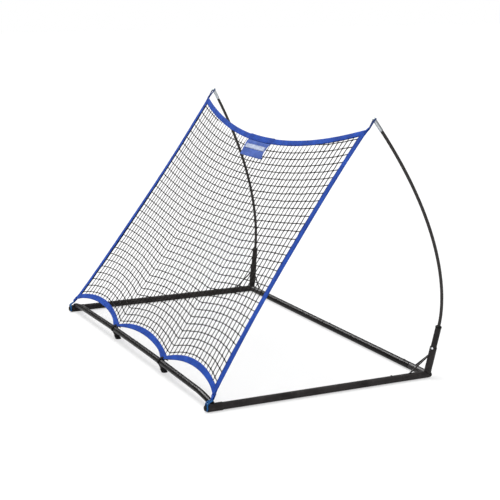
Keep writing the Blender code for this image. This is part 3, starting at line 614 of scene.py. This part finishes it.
# Beads of weld where the tubes meet, painted over
weld = {
    "bead": (0.0015, 0.0018, 0.0010),
    "uneven": (0.8, 1.2),
    "pitch": 0.0018,
    "clear": 0.0002,          # from the tube's skin
    "touch": 0.0009,
    "steps": 70,
    "socketRadius": 0.0135,
    "socketReach": 0.05,
    "braceRadius": 0.0030,
    "braceRise": 0.088,       # up the upright
    "braceReach": 0.094,      # along the rail
    "legRadius": 0.0085,
    "legLean": math.radians(25),
    "legs": ((-0.250, 0.0486), (0.260, 0.0485)),   # across, and the front tube's height there
    "legDrop": 0.026,
    "legReach": 0.024,
    "tubeRadius": 0.0113,
    "tubeEnd": Vector((0.724, -0.4456, 0.0318)),
    "tubeFall": -0.19,
    "tubeReach": 0.03,
    "seed": 5,
}


# Lines run down one piece's skin, and a lump is laid where each comes to the other piece
def layBead(draft, name, start, way, radius, reach, chance):
    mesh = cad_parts[name].data
    skin = BVHTree.FromPolygons([v.co for v in mesh.vertices], [p.vertices for p in mesh.polygons])
    way = way.normalized()
    side = way.orthogonal().normalized()
    front = way.cross(side)
    for a in turnsOf(round(2 * math.pi * radius / weld["pitch"])):
        out = side * math.cos(a) + front * math.sin(a)
        for step in spread(0, reach, weld["steps"]):
            point = start + out * (radius + weld["clear"]) + way * step
            near, normal, _, gap = skin.find_nearest(point)
            if gap < weld["touch"]:
                along = way.cross(out)
                rest = (along - normal * along.dot(normal)).normalized()
                sizes = [s * chance.uniform(*weld["uneven"]) for s in weld["bead"]]
                addLump(draft, near, (rest, normal.cross(rest), normal), sizes)
                break


def weldFrame():
    chance = random.Random(weld["seed"])
    draft = newDraft()
    legWay = Vector((0, -math.sin(weld["legLean"]), math.cos(weld["legLean"])))
    for (side, sideName), (across, height) in zip(bothSides, weld["legs"]):
        corner, lean = mirrored(poleShape["corner"], side), uprightWay(side)
        elbow, socket = "rear_corner_" + sideName, "socket_" + sideName
        reach = weld["socketReach"]
        layBead(draft, elbow, corner + lean * reach, -lean, weld["socketRadius"], reach, chance)
        for foot in (Vector((0, -weld["braceReach"], 0)), Vector((-side * weld["braceReach"], 0, 0))):
            run = lean * weld["braceRise"] - foot
            middle = corner + foot + run * 0.5
            for piece, way in ((elbow, -run), (socket, run)):
                layBead(draft, piece, middle, way, weld["braceRadius"], run.length * 0.5, chance)
        start = Vector((across, netPlane["foot"].y, height)) - legWay * weld["legDrop"]
        layBead(draft, "front_tube_" + sideName, start, legWay, weld["legRadius"], weld["legReach"], chance)
        layBead(draft, "front_sleeve_" + sideName, mirrored(weld["tubeEnd"], side),
                Vector((side, 0, weld["tubeFall"])), weld["tubeRadius"], weld["tubeReach"], chance)
    makePiece("weldBeads", draft, "powderCoat")


weldFrame()
print("frame welded")

for side, sideName in bothSides:
    draft = newDraft()
    addBar(draft, polePath(side), poleShape["radius"], poleShape["sides"], Vector((side, 0.2, 0)))
    pole = makePiece("bentPole_" + sideName, draft, "glassFibreRod")
    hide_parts("pole_" + sideName)
print("poles bent")


# Net: twine tied at every crossing
netMesh = {
    "columns": 50,
    "rows": 30,
    "columnsHalf": 0.68,       # about how far they reach, and the rows
    "rowsHalf": 0.7,
    "edgeInset": 0.028,        # from the net's side in to its outermost column
    "rowInset": 0.014,         # and to the ends of its rows
    "firstRow": 0.914,         # height of the top row in the middle
    "firstRowRise": 0.217,     # it climbs by this much times the distance squared
    "lastRowLift": 0.013,      # bottom row over the tape's seam
    "level": 0.075,            # the bottom rows' mean height
    "waveFade": 2.6,           # how fast the scallops' waves die out upwards
    "skew": 0.034,             # the scallops draw the columns to the right at the bottom
    "skewTop": 0.9,
    "skewFade": 1.6,
    "columnRadius": 0.00170,
    "rowRadius": 0.00183,
    "sewnRadii": (0.0009, 0.001125),   # pressed thin inside the tape
    "sewnIn": 0.006,           # how far it runs in past the tape's seam
    "shortRowEnd": (0.05, -0.008),   # on from the last knot of a row that stops at the top tape
    "twineSides": 5,
    "knot": (0.0033, 0.0036, 0.0030),
    "knotUneven": (0.85, 1.15),
    "knotTurn": 0.5,
    "slack": 0.0008,           # how far the knots wander
    "liftSlack": 0.8,          # share of it across the net's plane
    "halfwaySlack": 0.6,       # share of it half-way between knots
    "sag": 0.0022,             # how far the net lies behind its plane in the middle
    "seed": 11,
}


def rowHeight(across, up):
    top = netMesh["firstRow"] + netMesh["firstRowRise"] * across ** 2
    low = bottomSeam(across) + netMesh["lastRowLift"]
    level = netMesh["level"]
    return level + (top - level) * up + (low - level) * max(0.0, 1 - up) ** netMesh["waveFade"]


def columnAcross(share, height):
    fade = max(0.0, 1 - height / netMesh["skewTop"]) ** netMesh["skewFade"]
    return share * (sideEdge(height) - netMesh["edgeInset"]) + netMesh["skew"] * (1 - share ** 2) * fade


# Where a column meets a line given by its height over a place across
def onColumn(share, line):
    return crossing(share * netMesh["columnsHalf"], line, lambda height: columnAcross(share, height), 6)


def rowEnd(side, line):
    inset, half = netMesh["rowInset"], netMesh["rowsHalf"]
    return (*crossing(side * half, line, lambda height: side * (sideEdge(height) - inset), 4), 0.0)


def netSag(across, height):
    return -netMesh["sag"] * rise(clamp((across / netMesh["rowsHalf"] + 1) / 2)) * rise(clamp(height))


def tieNet():
    chance = random.Random(netMesh["seed"])
    columns = spread(-1, 1, netMesh["columns"] - 1)
    gaps = netMesh["rows"] - 1
    lines = [lambda across, up=r / gaps: rowHeight(across, up) for r in range(gaps + 2)]
    sewnIn = netMesh["sewnIn"]

    def wander(share=1.0):
        return chance.uniform(-netMesh["slack"], netMesh["slack"]) * share

    def halfway(before, after):
        return [(a + b) / 2 + wander(netMesh["halfwaySlack"]) for a, b in zip(before, after)]

    knots = {}
    for c, share in enumerate(columns):
        for r, line in enumerate(lines):
            across, height = onColumn(share, line)
            if r > gaps and height > topSeam(across) - sewnIn:
                continue                        # the last row only shows in the top corners
            lift = netSag(across, height) + wander(netMesh["liftSlack"])
            knots[c, r] = (across + wander(), height + wander(), lift)
    twine, lumps = newDraft(), newDraft()

    def strand(marks, radius):
        path = [onNet(*marks[0])]
        for before, after in zip(marks, marks[1:]):
            path += [onNet(*halfway(before, after)), onNet(*after)]
        ends = list(netMesh["sewnRadii"])
        radii = ends + [radius] * (len(path) - 4) + ends[::-1]
        addBar(twine, path, radii, netMesh["twineSides"], netFace, caps=False)

    for c, share in enumerate(columns):
        low = onColumn(share, lambda across: bottomSeam(across) - sewnIn)
        high = onColumn(share, lambda across: topSeam(across) + sewnIn)
        tied = [knots[c, r] for r in range(len(lines)) if (c, r) in knots]
        strand([(*low, 0.0)] + tied + [(*high, 0.0)], netMesh["columnRadius"])
    for r, line in enumerate(lines):
        tied = [knots[c, r] for c in range(len(columns)) if (c, r) in knots]
        left, right = rowEnd(-1, line), rowEnd(1, line)
        if r <= gaps:
            strand([left] + tied + [right], netMesh["rowRadius"])
            continue
        on, down = netMesh["shortRowEnd"]
        leftTied, rightTied = ([mark for mark in tied if mark[0] * side > 0] for side in (-1, 1))
        leftEnd = (leftTied[-1][0] + on, leftTied[-1][1] + down, 0.0)
        rightEnd = (rightTied[0][0] - on, rightTied[0][1] + down, 0.0)
        strand([left] + leftTied + [leftEnd], netMesh["rowRadius"])
        strand([rightEnd] + rightTied + [right], netMesh["rowRadius"])
    for mark in knots.values():
        turn = chance.uniform(-netMesh["knotTurn"], netMesh["knotTurn"])
        x = Vector((math.cos(turn), 0, 0)) + netUp * math.sin(turn)
        sizes = [s * chance.uniform(*netMesh["knotUneven"]) for s in netMesh["knot"]]
        addLump(lumps, onNet(*mark), (x, netFace.cross(x), netFace), sizes)
    net = makePiece("tiedNet", twine, "netTwine")
    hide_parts("net")
    return net, makePiece("netKnots", lumps, "netTwine")


netPieces = tieNet()
print("net tied,", netMesh["columns"], "by", netMesh["rows"])


# Tape folded over the net's edge and sewn through
tapeShape = {
    "thickness": 0.0004,
    "half": 0.0018,          # half the folded tape's thickness
    "fold": 0.07,            # share of the width that rounds over at the fold
    "profile": (1.0, 0.93, 0.85, 0.75, 0.6, 0.45, 0.3, 0.16, 0.06, 0.015),   # shares in from the fold
    "ripple": 0.0005,        # how far its faces rise and fall
    "heldFlat": 0.35,        # share of the ripple left at the stitches
    "rippleShare": 0.4,      # share of its faces' lift that ripples
    "wander": 0.0008,        # how far it leaves the net's plane
    "wanderPitch": 9,        # radians a metre
    "wanderFade": 8,         # dies out over the last eighth of a metre
    "stitchLength": 0.0034,
    "stitchPitch": 0.0050,
    "stitchRadius": 0.00030,
    "stitchSunk": -0.0001,
    "stitchProud": 0.0004,
    "stitchRows": (0.80, 0.90),
}


# pitches along and across, share of the seed, height
ripples = ((61, 0, 1.0, 0.5), (143, 3, 2.1, 0.3), (331, 5, 1.0, 0.2))


def ripple(along, across, seed):
    return sum(high * math.sin(along * length + across * breadth + seed * start)
               for length, breadth, start, high in ripples)


# outline gives the outer and the inner point for a share along the tape
def foldTape(name, outline, steps, seed, node):
    front = [(t, 1) for t in tapeShape["profile"]]
    profile = front + [(0.0, 0)] + [(t, -1) for t, _ in reversed(front)]
    places = [[Vector(point) for point in outline(share)] for share in spread(0, 1, steps)]
    runs = runsOf([outer for outer, _ in places])
    sewnAt, moving, fade = tapeShape["stitchRows"][0], tapeShape["rippleShare"], tapeShape["wanderFade"]

    # t is the share in from the fold, and face is 1 on the front and -1 on the back
    def surfaceAt(share, t, face):
        at = share * steps
        i = min(int(at), steps - 1)
        outer, inner = (here.lerp(there, at - i) for here, there in zip(places[i], places[i + 1]))
        run = runs[i] + (runs[i + 1] - runs[i]) * (at - i)
        spot = outer.lerp(inner, t)
        swell = math.sqrt(max(0.0, 1 - (1 - min(t / tapeShape["fold"], 1.0)) ** 2))
        # held flat by the stitches, proud between them and the fold
        held = tapeShape["heldFlat"]
        puff = held + (1 - held) * math.sin(math.pi * max((sewnAt - t) / sewnAt, 0.0))
        proud = tapeShape["ripple"] * puff * (1 - moving + moving * ripple(run, t, seed + face))
        sway = (tapeShape["wander"] * math.sin(run * tapeShape["wanderPitch"] + seed)
                * min(1.0, run * fade, (runs[-1] - run) * fade))
        return onNet(spot.x, spot.y, face * swell * (tapeShape["half"] + proud) + sway), run

    rows = []
    for share in spread(0, 1, steps):
        row = [surfaceAt(share, t, face) for t, face in profile]
        wide = runsOf([point for point, _ in row])
        rows.append([(point, (run, w)) for (point, run), w in zip(row, wide)])
    tape = makeCloth(name, rows, "blueTape", tapeShape["thickness"])
    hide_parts(node)

    sewn = []
    count = int(runs[-1] / tapeShape["stitchPitch"])
    half = tapeShape["stitchLength"] / runs[-1] / 2
    sunk, proud = tapeShape["stitchSunk"], tapeShape["stitchProud"]
    for line in tapeShape["stitchRows"]:
        for face in (1, -1):
            for middle in spread(0, 1, count)[1:-1]:
                path = []
                for share, lift in ((middle - half, sunk), (middle, proud), (middle + half, sunk)):
                    point, _ = surfaceAt(share, line, face)
                    path.append(point + netFace * face * (lift + tapeShape["thickness"] / 2))
                sewn.append(path)
    stitches = sew(name + "Stitches", sewn, tapeShape["stitchRadius"])
    return tape, stitches, runs[-1]


# The outlines of the four tapes
tapeEnds = {
    "topInset": 0.0014,
    "lap": 0.0026,             # the top tape's ends lap where the tab is
    "lapFrom": -0.11,
    "lapTo": 0.105,
    "sideInset": 0.0004,
    "sideLow": 0.003,          # the side tapes run on past the corners and narrow there
    "sideHighInset": 0.004,
    "lowShare": 0.55,          # share of the width at the low end
    "lowReach": 0.10,
    "highWide": 0.007,
    "highReach": 0.03,
}


def topOutline(share):
    outer, inner = edgePoint(2 * share - 1, topEdge), edgePoint(2 * share - 1, topSeam)
    lap = tapeEnds["lap"] if tapeEnds["lapFrom"] < outer[0] < tapeEnds["lapTo"] else 0.0
    return (outer[0], outer[1] - tapeEnds["topInset"] + lap), inner


# A third of the tape to each scallop
def bottomOutline(share):
    third = min(int(share * 3), 2)
    part = share * 3 - third
    ends = []
    edgeLow, drawnIn = netPlane["edgeLow"] - netPlane["edgeDip"], netPlane["edgeDrawn"]
    for edge, height, drawn in ((bottomEdge, edgeLow, drawnIn), (bottomSeam, netPlane["scallopLow"], 0.0)):
        marks = [-1.0] + [join / sideEdge(height) for join in scallopJoins(drawn)] + [1.0]
        ends.append(edgePoint(marks[third] + (marks[third + 1] - marks[third]) * part, edge))
    return ends


def sideOutline(side):
    low, high = tapeEnds["sideLow"], netPlane["topCorner"] - tapeEnds["sideHighInset"]

    def outline(share):
        height = low + (high - low) * share
        edge = sideEdge(height) - tapeEnds["sideInset"]
        wide = netPlane["tape"] * min(1.0, tapeEnds["lowShare"] + (height - low) / tapeEnds["lowReach"],
                                      (high - height + tapeEnds["highWide"]) / tapeEnds["highReach"])
        return (side * edge, height), (side * (edge - wide), height)

    return outline


tapes = {       # steps along each, and its seed
    "topTape": foldTape("topTape", topOutline, 150, 1.0, "binding_top"),
    "bottomTape": foldTape("bottomTape", bottomOutline, 210, 2.7, "binding_bottom"),
    "leftTape": foldTape("leftTape", sideOutline(-1), 110, 4.1, "binding_left"),
    "rightTape": foldTape("rightTape", sideOutline(1), 110, 5.3, "binding_right"),
}
print("tape folded and sewn:", {name: round(length, 3) for name, (_, _, length) in tapes.items()})


# Tab with a pale stripe, sewn under the middle of the top tape
tabShape = {
    "top": 0.946,
    "bottom": 0.8712,
    "left": (-0.104, -0.095),   # at the top and at the bottom
    "right": (0.103, 0.101),
    "curl": 0.014,              # the right edge is drawn in half-way down
    "curlReach": 1.1,
    "inTape": 0.0004,           # its lift over the net's plane inside the tape
    "lift": 0.0024,             # and below it
    "comesOut": (0.02, 0.10),   # shares down where it starts to leave the tape, and over which
    "wave": (0.0011, 3.1, 1.2),       # height, pitch across and start
    "fineWave": (0.0005, 8, 4),       # height, pitch across and down
    "thickness": 0.0007,
    "hem": 0.006,
    "hemProud": 0.0005,
    "stripe": (0.28, 0.54),     # share down from the top
    "stripeReach": 0.89,
    "stripeProud": 0.0010,
    "stripeThickness": 0.0004,
    "stitchRadius": 0.00028,
    "stitch": ((0.14, 0.0012), (0.5, 0.0017), (0.86, 0.0012)),   # shares along one, and their lift
    "stitchHigh": 0.12,         # share down where the side seams start
    "stitchLow": 0.94,
    "stripeStitch": (0.86, 0.02),   # how far out, and how far in from the stripe's edges
    "stitchCounts": (42, 16, 40),   # bottom hem, side seams, stripe
}
tabSize = (0.1, 0.079)          # half its width, and its height


def tabPoint(across, down, proud):
    height = tabShape["top"] + (tabShape["bottom"] - tabShape["top"]) * down
    left, right = (top + (bottom - top) * down for top, bottom in (tabShape["left"], tabShape["right"]))
    right -= tabShape["curl"] * rise(min(down * tabShape["curlReach"], 1.0))
    place = left + (right - left) * (across + 1) / 2
    (broad, pitch, start), (fine, finePitch, slant) = tabShape["wave"], tabShape["fineWave"]
    wave = (broad * math.sin(across * pitch + start) * down
            + fine * math.sin(across * finePitch + down * slant))
    hidden, over = tabShape["comesOut"]
    clear = clamp((down - hidden) / over)
    lift = tabShape["inTape"] + (tabShape["lift"] - tabShape["inTape"]) * clear + abs(wave) * clear
    return onNet(place, height, lift + proud), (place, -height)


def hemLift(across, down):
    edge = min((1 - abs(across)) * tabSize[0], (1 - down) * tabSize[1])
    return tabShape["hemProud"] if edge < tabShape["hem"] else 0.0


def sewTab():
    rows = [[tabPoint(across, down, hemLift(across, down)) for across in spread(-1, 1, 48)]
            for down in spread(0, 1, 24)]
    tab = makeCloth("sewnTab", rows, "tabCloth", tabShape["thickness"], 1)
    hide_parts("tab")

    reach = tabShape["stripeReach"]
    rows = [[tabPoint(across, down, tabShape["stripeProud"]) for across in spread(-reach, reach, 40)]
            for down in spread(*tabShape["stripe"], 8)]
    band = makeCloth("tabStripe", rows, "paleStripe", tabShape["stripeThickness"], 1)

    hem = 1 - tabShape["hem"] / tabSize[0]
    high, low = tabShape["stripe"]
    out, inset = tabShape["stripeStitch"]
    top, bottom = tabShape["stitchHigh"], tabShape["stitchLow"]
    hemCount, sideCount, stripeCount = tabShape["stitchCounts"]
    lines = [[(across, bottom) for across in spread(-hem, hem, hemCount)]]
    lines += [[(side * hem, down) for down in spread(top, bottom, sideCount)] for side in (-1, 1)]
    lines += [[(across, down) for across in spread(-out, out, stripeCount)]
              for down in (high + inset, low - inset)]
    sewn = [[tabPoint(*[a + (b - a) * share for a, b in zip(start, end)], lift)[0]
             for share, lift in tabShape["stitch"]]
            for line in lines for start, end in zip(line, line[1:])]
    stitches = sew("tabStitches", sewn, tabShape["stitchRadius"])


sewTab()
print("tab sewn")


# Hook-and-loop ties round the front tube
tieShape = {
    "places": (-0.230, 0.280),
    "width": 0.014,
    "across": (-1, -0.9, -0.5, 0, 0.5, 0.9, 1),   # shares of half its width
    "thickness": 0.0013,
    "tube": 0.0113,
    "gap": 0.0004,
    "lapGap": 0.0002,
    # degrees from the top, and steps: a hidden first layer up the front, then down the back
    # and under, then over the first layer
    "turns": ((150, 60, 12), (-38, -205, 26), (-215, -318, 16)),
    "throughEye": ((0.0062, 0.0152), (0.0026, 0.0190), (0.0006, 0.0206),
                   (-0.0014, 0.0203), (-0.0040, 0.0176)),   # front and up, through the tape's slot
    "edge": 0.0003,           # how far its edges are rounded
    "endNarrow": 0.9,
    "tail": (0.004, 0.037),   # from and to, along the tube from the tie's middle
    "tailRise": (0.0012, 0.0042),
    "tailNarrow": 0.8,
    "tailEndNarrow": 0.7,
    "tailTwist": (0.5, -0.2),
    "tailFront": -0.001,
}


def wrapTie(name, middle, node):
    inner = tieShape["tube"] + tieShape["gap"] + tieShape["thickness"] / 2
    outer = inner + tieShape["thickness"] + tieShape["lapGap"]
    half = tieShape["width"] / 2

    def wrap(radius, start, end, count):            # (front, up) in the tie's own plane
        return [(radius * math.sin(math.radians(a)), radius * math.cos(math.radians(a)))
                for a in spread(start, end, count)]

    hidden, back, over = tieShape["turns"]
    path = [*wrap(inner, *hidden), *tieShape["throughEye"], *wrap(inner, *back), *wrap(outer, *over)]
    narrow = [1.0] * (len(path) - 1) + [tieShape["endNarrow"]]
    rows = [[(onNet(middle + w * share * half, up, front), (run, w * half)) for w in tieShape["across"]]
            for (front, up), run, share in zip(path, runsOf(path), narrow)]
    tie = makeCloth(name, rows, "strapWebbing", tieShape["thickness"])
    soft = tie.modifiers.new("edge", "BEVEL")
    soft.width = tieShape["edge"]
    soft.segments = 2
    soft.limit_method = "ANGLE"
    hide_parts(node)

    # the other end is turned along the tube and stands up a little
    rows = []
    low, high = tieShape["tail"]
    clear, lift = tieShape["tailRise"]
    start, end = tieShape["tailTwist"]
    for share in spread(0, 1, 12):
        up = outer + clear + lift * share ** 2
        wide = half * tieShape["tailNarrow" if share < 1 else "tailEndNarrow"]
        twist = start + (end - start) * share
        run = (high - low) * share
        rows.append([(onNet(middle + low + run, up - w * wide * math.sin(twist),
                            tieShape["tailFront"] + w * wide * math.cos(twist)), (run, w * wide))
                     for w in tieShape["across"]])
    makeCloth(name + "Tail", rows, "strapWebbing", tieShape["thickness"])


for (_, sideName), middle in zip(bothSides, tieShape["places"]):
    wrapTie("strapTie_" + sideName, middle, "tie_" + sideName)
print("ties wrapped")


# Elastic corner cords, each a loop from a neck to a folded loop of tape at the net's corner.
# eye is the cord's far end and sewnTo the tape's, across and up from the net's corner.
cords = {
    "lower": {
        "radius": 0.0030, "neck": 0.006, "eye": (0.0012, -0.0145),
        "square": 0.0165,         # how far the loop stays square to its neck
        "ease": 1.35,             # how it bends away from there, 1 is at once
        "sewnTo": (-0.008, 0.016), "tapeWidth": 0.0125},
    "upper": {
        "radius": 0.0025, "neck": 0.004, "eye": (-0.0004, 0.0012),
        "square": 0.0022,
        "ease": 1.0,
        "sewnTo": (-0.010, -0.018), "tapeWidth": 0.0075},
}
cordFit = {
    "gap": 0.0004,            # between a cord and its neck
    "plugAhead": 0.0175,      # from the front tube's axis to the plug's groove
    "railHeight": 0.015,
    "farHalf": 1.25,          # half a loop's width at its far end, in radii
    "steps": (26, 18, 10),    # along a leg, round the neck, round the far end
    "sides": 12,
}
cornerLoop = {
    "thickness": 0.0007,
    "bedding": 0.6,           # share of it between the cord and the loop's middle
    "foldSteps": 14,
    "overTape": 0.0029,       # how far it lies from the net's plane where it is sewn down
    "reach": 0.022,           # from the cord back over the tape
    "profile": (1, 0.85, 0.7, 0.55, 0.4, 0.25, 0.12),    # shares of the reach
    "across": (-1, -0.8, -0.4, 0, 0.4, 0.8, 1),          # shares of half its width
    "flare": 0.06,            # how much wider it grows along its reach
    "tacks": 7,
    "tackRadius": 0.0003,
    "tackFrom": 0.62,         # share of the reach where the tacks start
    "tackStep": 0.02,
    "tackOut": 0.36,          # share of the width
}


# Gives the loop's path and the middle of the cord where it turns back
def cordLoop(centre, axis, ring, eye, cord):
    gap = eye - centre
    drop = axis * gap.dot(axis)
    pull = (gap - drop).normalized()
    across = axis.cross(pull)
    end = cord["radius"] * cordFit["farHalf"]
    run = gap.dot(pull) - end
    straight = cord["square"] / run
    legSteps, neckSteps, eyeSteps = cordFit["steps"]
    legs = [], []
    for share in spread(0, 1, legSteps):
        bend = max(0.0, (share - straight) / (1 - straight))
        width = ring + (end - ring) * share * share * (3 - 2 * share)
        spot = centre + pull * run * share + drop * bend ** cord["ease"]
        for leg, side in zip(legs, (1, -1)):
            leg.append(spot + across * width * side)
    turn = centre + pull * run + drop

    def halfTurn(middle, way, radius, steps):
        return [middle + (across * math.cos(a) + pull * math.sin(a) * way) * radius
                for a in spread(0, math.pi, steps)[1:-1]]

    back, eyePath = halfTurn(centre, -1, ring, neckSteps), halfTurn(turn, 1, end, eyeSteps)
    return legs[0][::-1] + back + legs[1] + eyePath[::-1], turn + pull * end


# Tape folded round the cord, sewn down on both faces of the net's corner
def foldLoop(name, bar, radius, tape, width):
    up = (tape - bar).normalized()
    out = (netFace - up * netFace.dot(up)).normalized()
    side = up.cross(out)
    turn = radius + cornerLoop["thickness"] * cornerLoop["bedding"]
    reach, over = cornerLoop["reach"], cornerLoop["overTape"]
    front = [(reach * s, over + (turn - over) * (1 - s) ** 2) for s in cornerLoop["profile"]]
    fold = [(-turn * math.sin(a), turn * math.cos(a)) for a in spread(0, math.pi, cornerLoop["foldSteps"])]
    profile = front + fold + [(u, -o) for u, o in reversed(front)]
    rows = []
    for (u, o), run in zip(profile, runsOf(profile)):
        wide = width * (0.5 + cornerLoop["flare"] * clamp(u / reach))
        rows.append([(bar + up * u + out * o + side * (w * wide), (run, w * wide))
                     for w in cornerLoop["across"]])
    loop = makeCloth(name, rows, "blueTape", cornerLoop["thickness"])
    proud = over + cornerLoop["thickness"] / 2 + cornerLoop["tackRadius"]
    zigzag = [(reach * (cornerLoop["tackFrom"] + cornerLoop["tackStep"] * i),
               cornerLoop["tackOut"] * width * (1 if i % 2 else -1)) for i in range(cornerLoop["tacks"] * 2)]
    sewn = [[bar + up * u + side * w + out * face * proud for u, w in zigzag] for face in (1, -1)]
    return loop, sew(name + "Tack", sewn, cornerLoop["tackRadius"])


# half and height are where the net's corner is
def loopCorner(level, sideName, side, centre, axis, half, height):
    cord = cords[level]
    eye, tape = (onNet(side * (half + across), height + up) for across, up in (cord["eye"], cord["sewnTo"]))
    path, bar = cordLoop(centre, axis, cord["neck"] + cordFit["gap"] + cord["radius"], eye, cord)
    draft = newDraft()
    addBar(draft, path, cord["radius"], cordFit["sides"], axis, closed=True)
    loop = makePiece(level + "Loop_" + sideName, draft, level + "Sheath")
    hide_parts(level + "_cord_" + sideName)
    return foldLoop(level + "Corner_" + sideName, bar, cord["radius"], tape, cord["tapeWidth"])


for side, sideName in bothSides:
    groove = netPlane["foot"].y - cordFit["plugAhead"] - cordFit["gap"] - cords["lower"]["radius"]
    plugNeck = Vector((side * poleShape["corner"].x, groove, cordFit["railHeight"]))
    lower = loopCorner("lower", sideName, side, plugNeck, Vector((0, 1, 0)),
                       netPlane["bottomHalf"], netPlane["edgeLow"])
    upper = loopCorner("upper", sideName, side, tipAt(side), tipWay(side),
                       netPlane["topHalf"], netPlane["topCorner"])
print("corner cords looped")
# Floor, light and background
studio = {
    "floorHalf": 30,
    "floorWhite": 0.58,       # share of plain white that the camera sees in the floor
    "floorColour": 0.95,
    "floorRough": 0.9,
    "worldLow": 0.28,         # dim at the horizon, bright overhead
    "worldHigh": 0.86,
    "sunLight": 2.1,
    "sunSpread": 34,          # degrees, as soft as a large softbox
    "sunFrom": (-0.10, -0.20, 1.0),
    "rimLight": 5.5,          # seen in reflections only
    "rimSpread": 24,
    "rimFrom": (-0.72, -0.12, 0.68),
}


def cameraRay(shader):
    return addNode(shader, "ShaderNodeLightPath").outputs["Is Camera Ray"]


def addSun(name, strength, spreadAngle, source):
    sun = bpy.data.lights.new(name, "SUN")
    sun.energy = strength
    sun.angle = math.radians(spreadAngle)
    holder = addObject(name, sun)
    aim(holder, -Vector(source))
    return holder


def lightWorld():
    world = bpy.data.worlds.new("studioWorld")
    bpy.context.scene.world = world
    world.use_nodes = True
    back = world.node_tree.nodes["Background"]
    back.inputs["Color"].default_value = (1, 1, 1, 1)
    place = addNode(back, "ShaderNodeTexCoord").outputs["Generated"]
    height = addNode(back, "ShaderNodeSeparateXYZ", {0: place}).outputs["Z"]
    dome = addNode(back, "ShaderNodeMapRange",
                   {"Value": height, "To Min": studio["worldLow"], "To Max": studio["worldHigh"]})
    strength = addNode(back, "ShaderNodeMapRange",
                       {"Value": cameraRay(back), "To Min": dome.outputs[0], "To Max": 1.0})
    plug(strength.outputs[0], back.inputs["Strength"])


def layFloor():
    half, grey = studio["floorHalf"], studio["floorColour"]
    mesh = bpy.data.meshes.new("paperFloor")
    corners = [(-half, -half, 0), (half, -half, 0), (half, half, 0), (-half, half, 0)]
    mesh.from_pydata(corners, [], [(0, 1, 2, 3)])
    floor = addObject("paperFloor", mesh)
    material, shader = startMaterial("whitePaper", {
        "Base Color": (grey, grey, grey, 1), "Roughness": studio["floorRough"], "Specular IOR Level": 0.0})
    share = maths(shader, "MULTIPLY", cameraRay(shader), studio["floorWhite"])
    glow = addNode(shader, "ShaderNodeEmission")
    mix = addNode(shader, "ShaderNodeMixShader", {0: share, 1: shader.outputs[0], 2: glow.outputs[0]})
    plug(mix.outputs[0], material.node_tree.nodes["Material Output"].inputs["Surface"])
    mesh.materials.append(material)


def setUpStudio():
    lightWorld()
    layFloor()
    addSun("overheadLight", studio["sunLight"], studio["sunSpread"], studio["sunFrom"])
    rim = addSun("rimLight", studio["rimLight"], studio["rimSpread"], studio["rimFrom"])
    rim.visible_diffuse = False
    bpy.context.scene.view_settings.view_transform = "Standard"


setUpStudio()
print("studio lit")
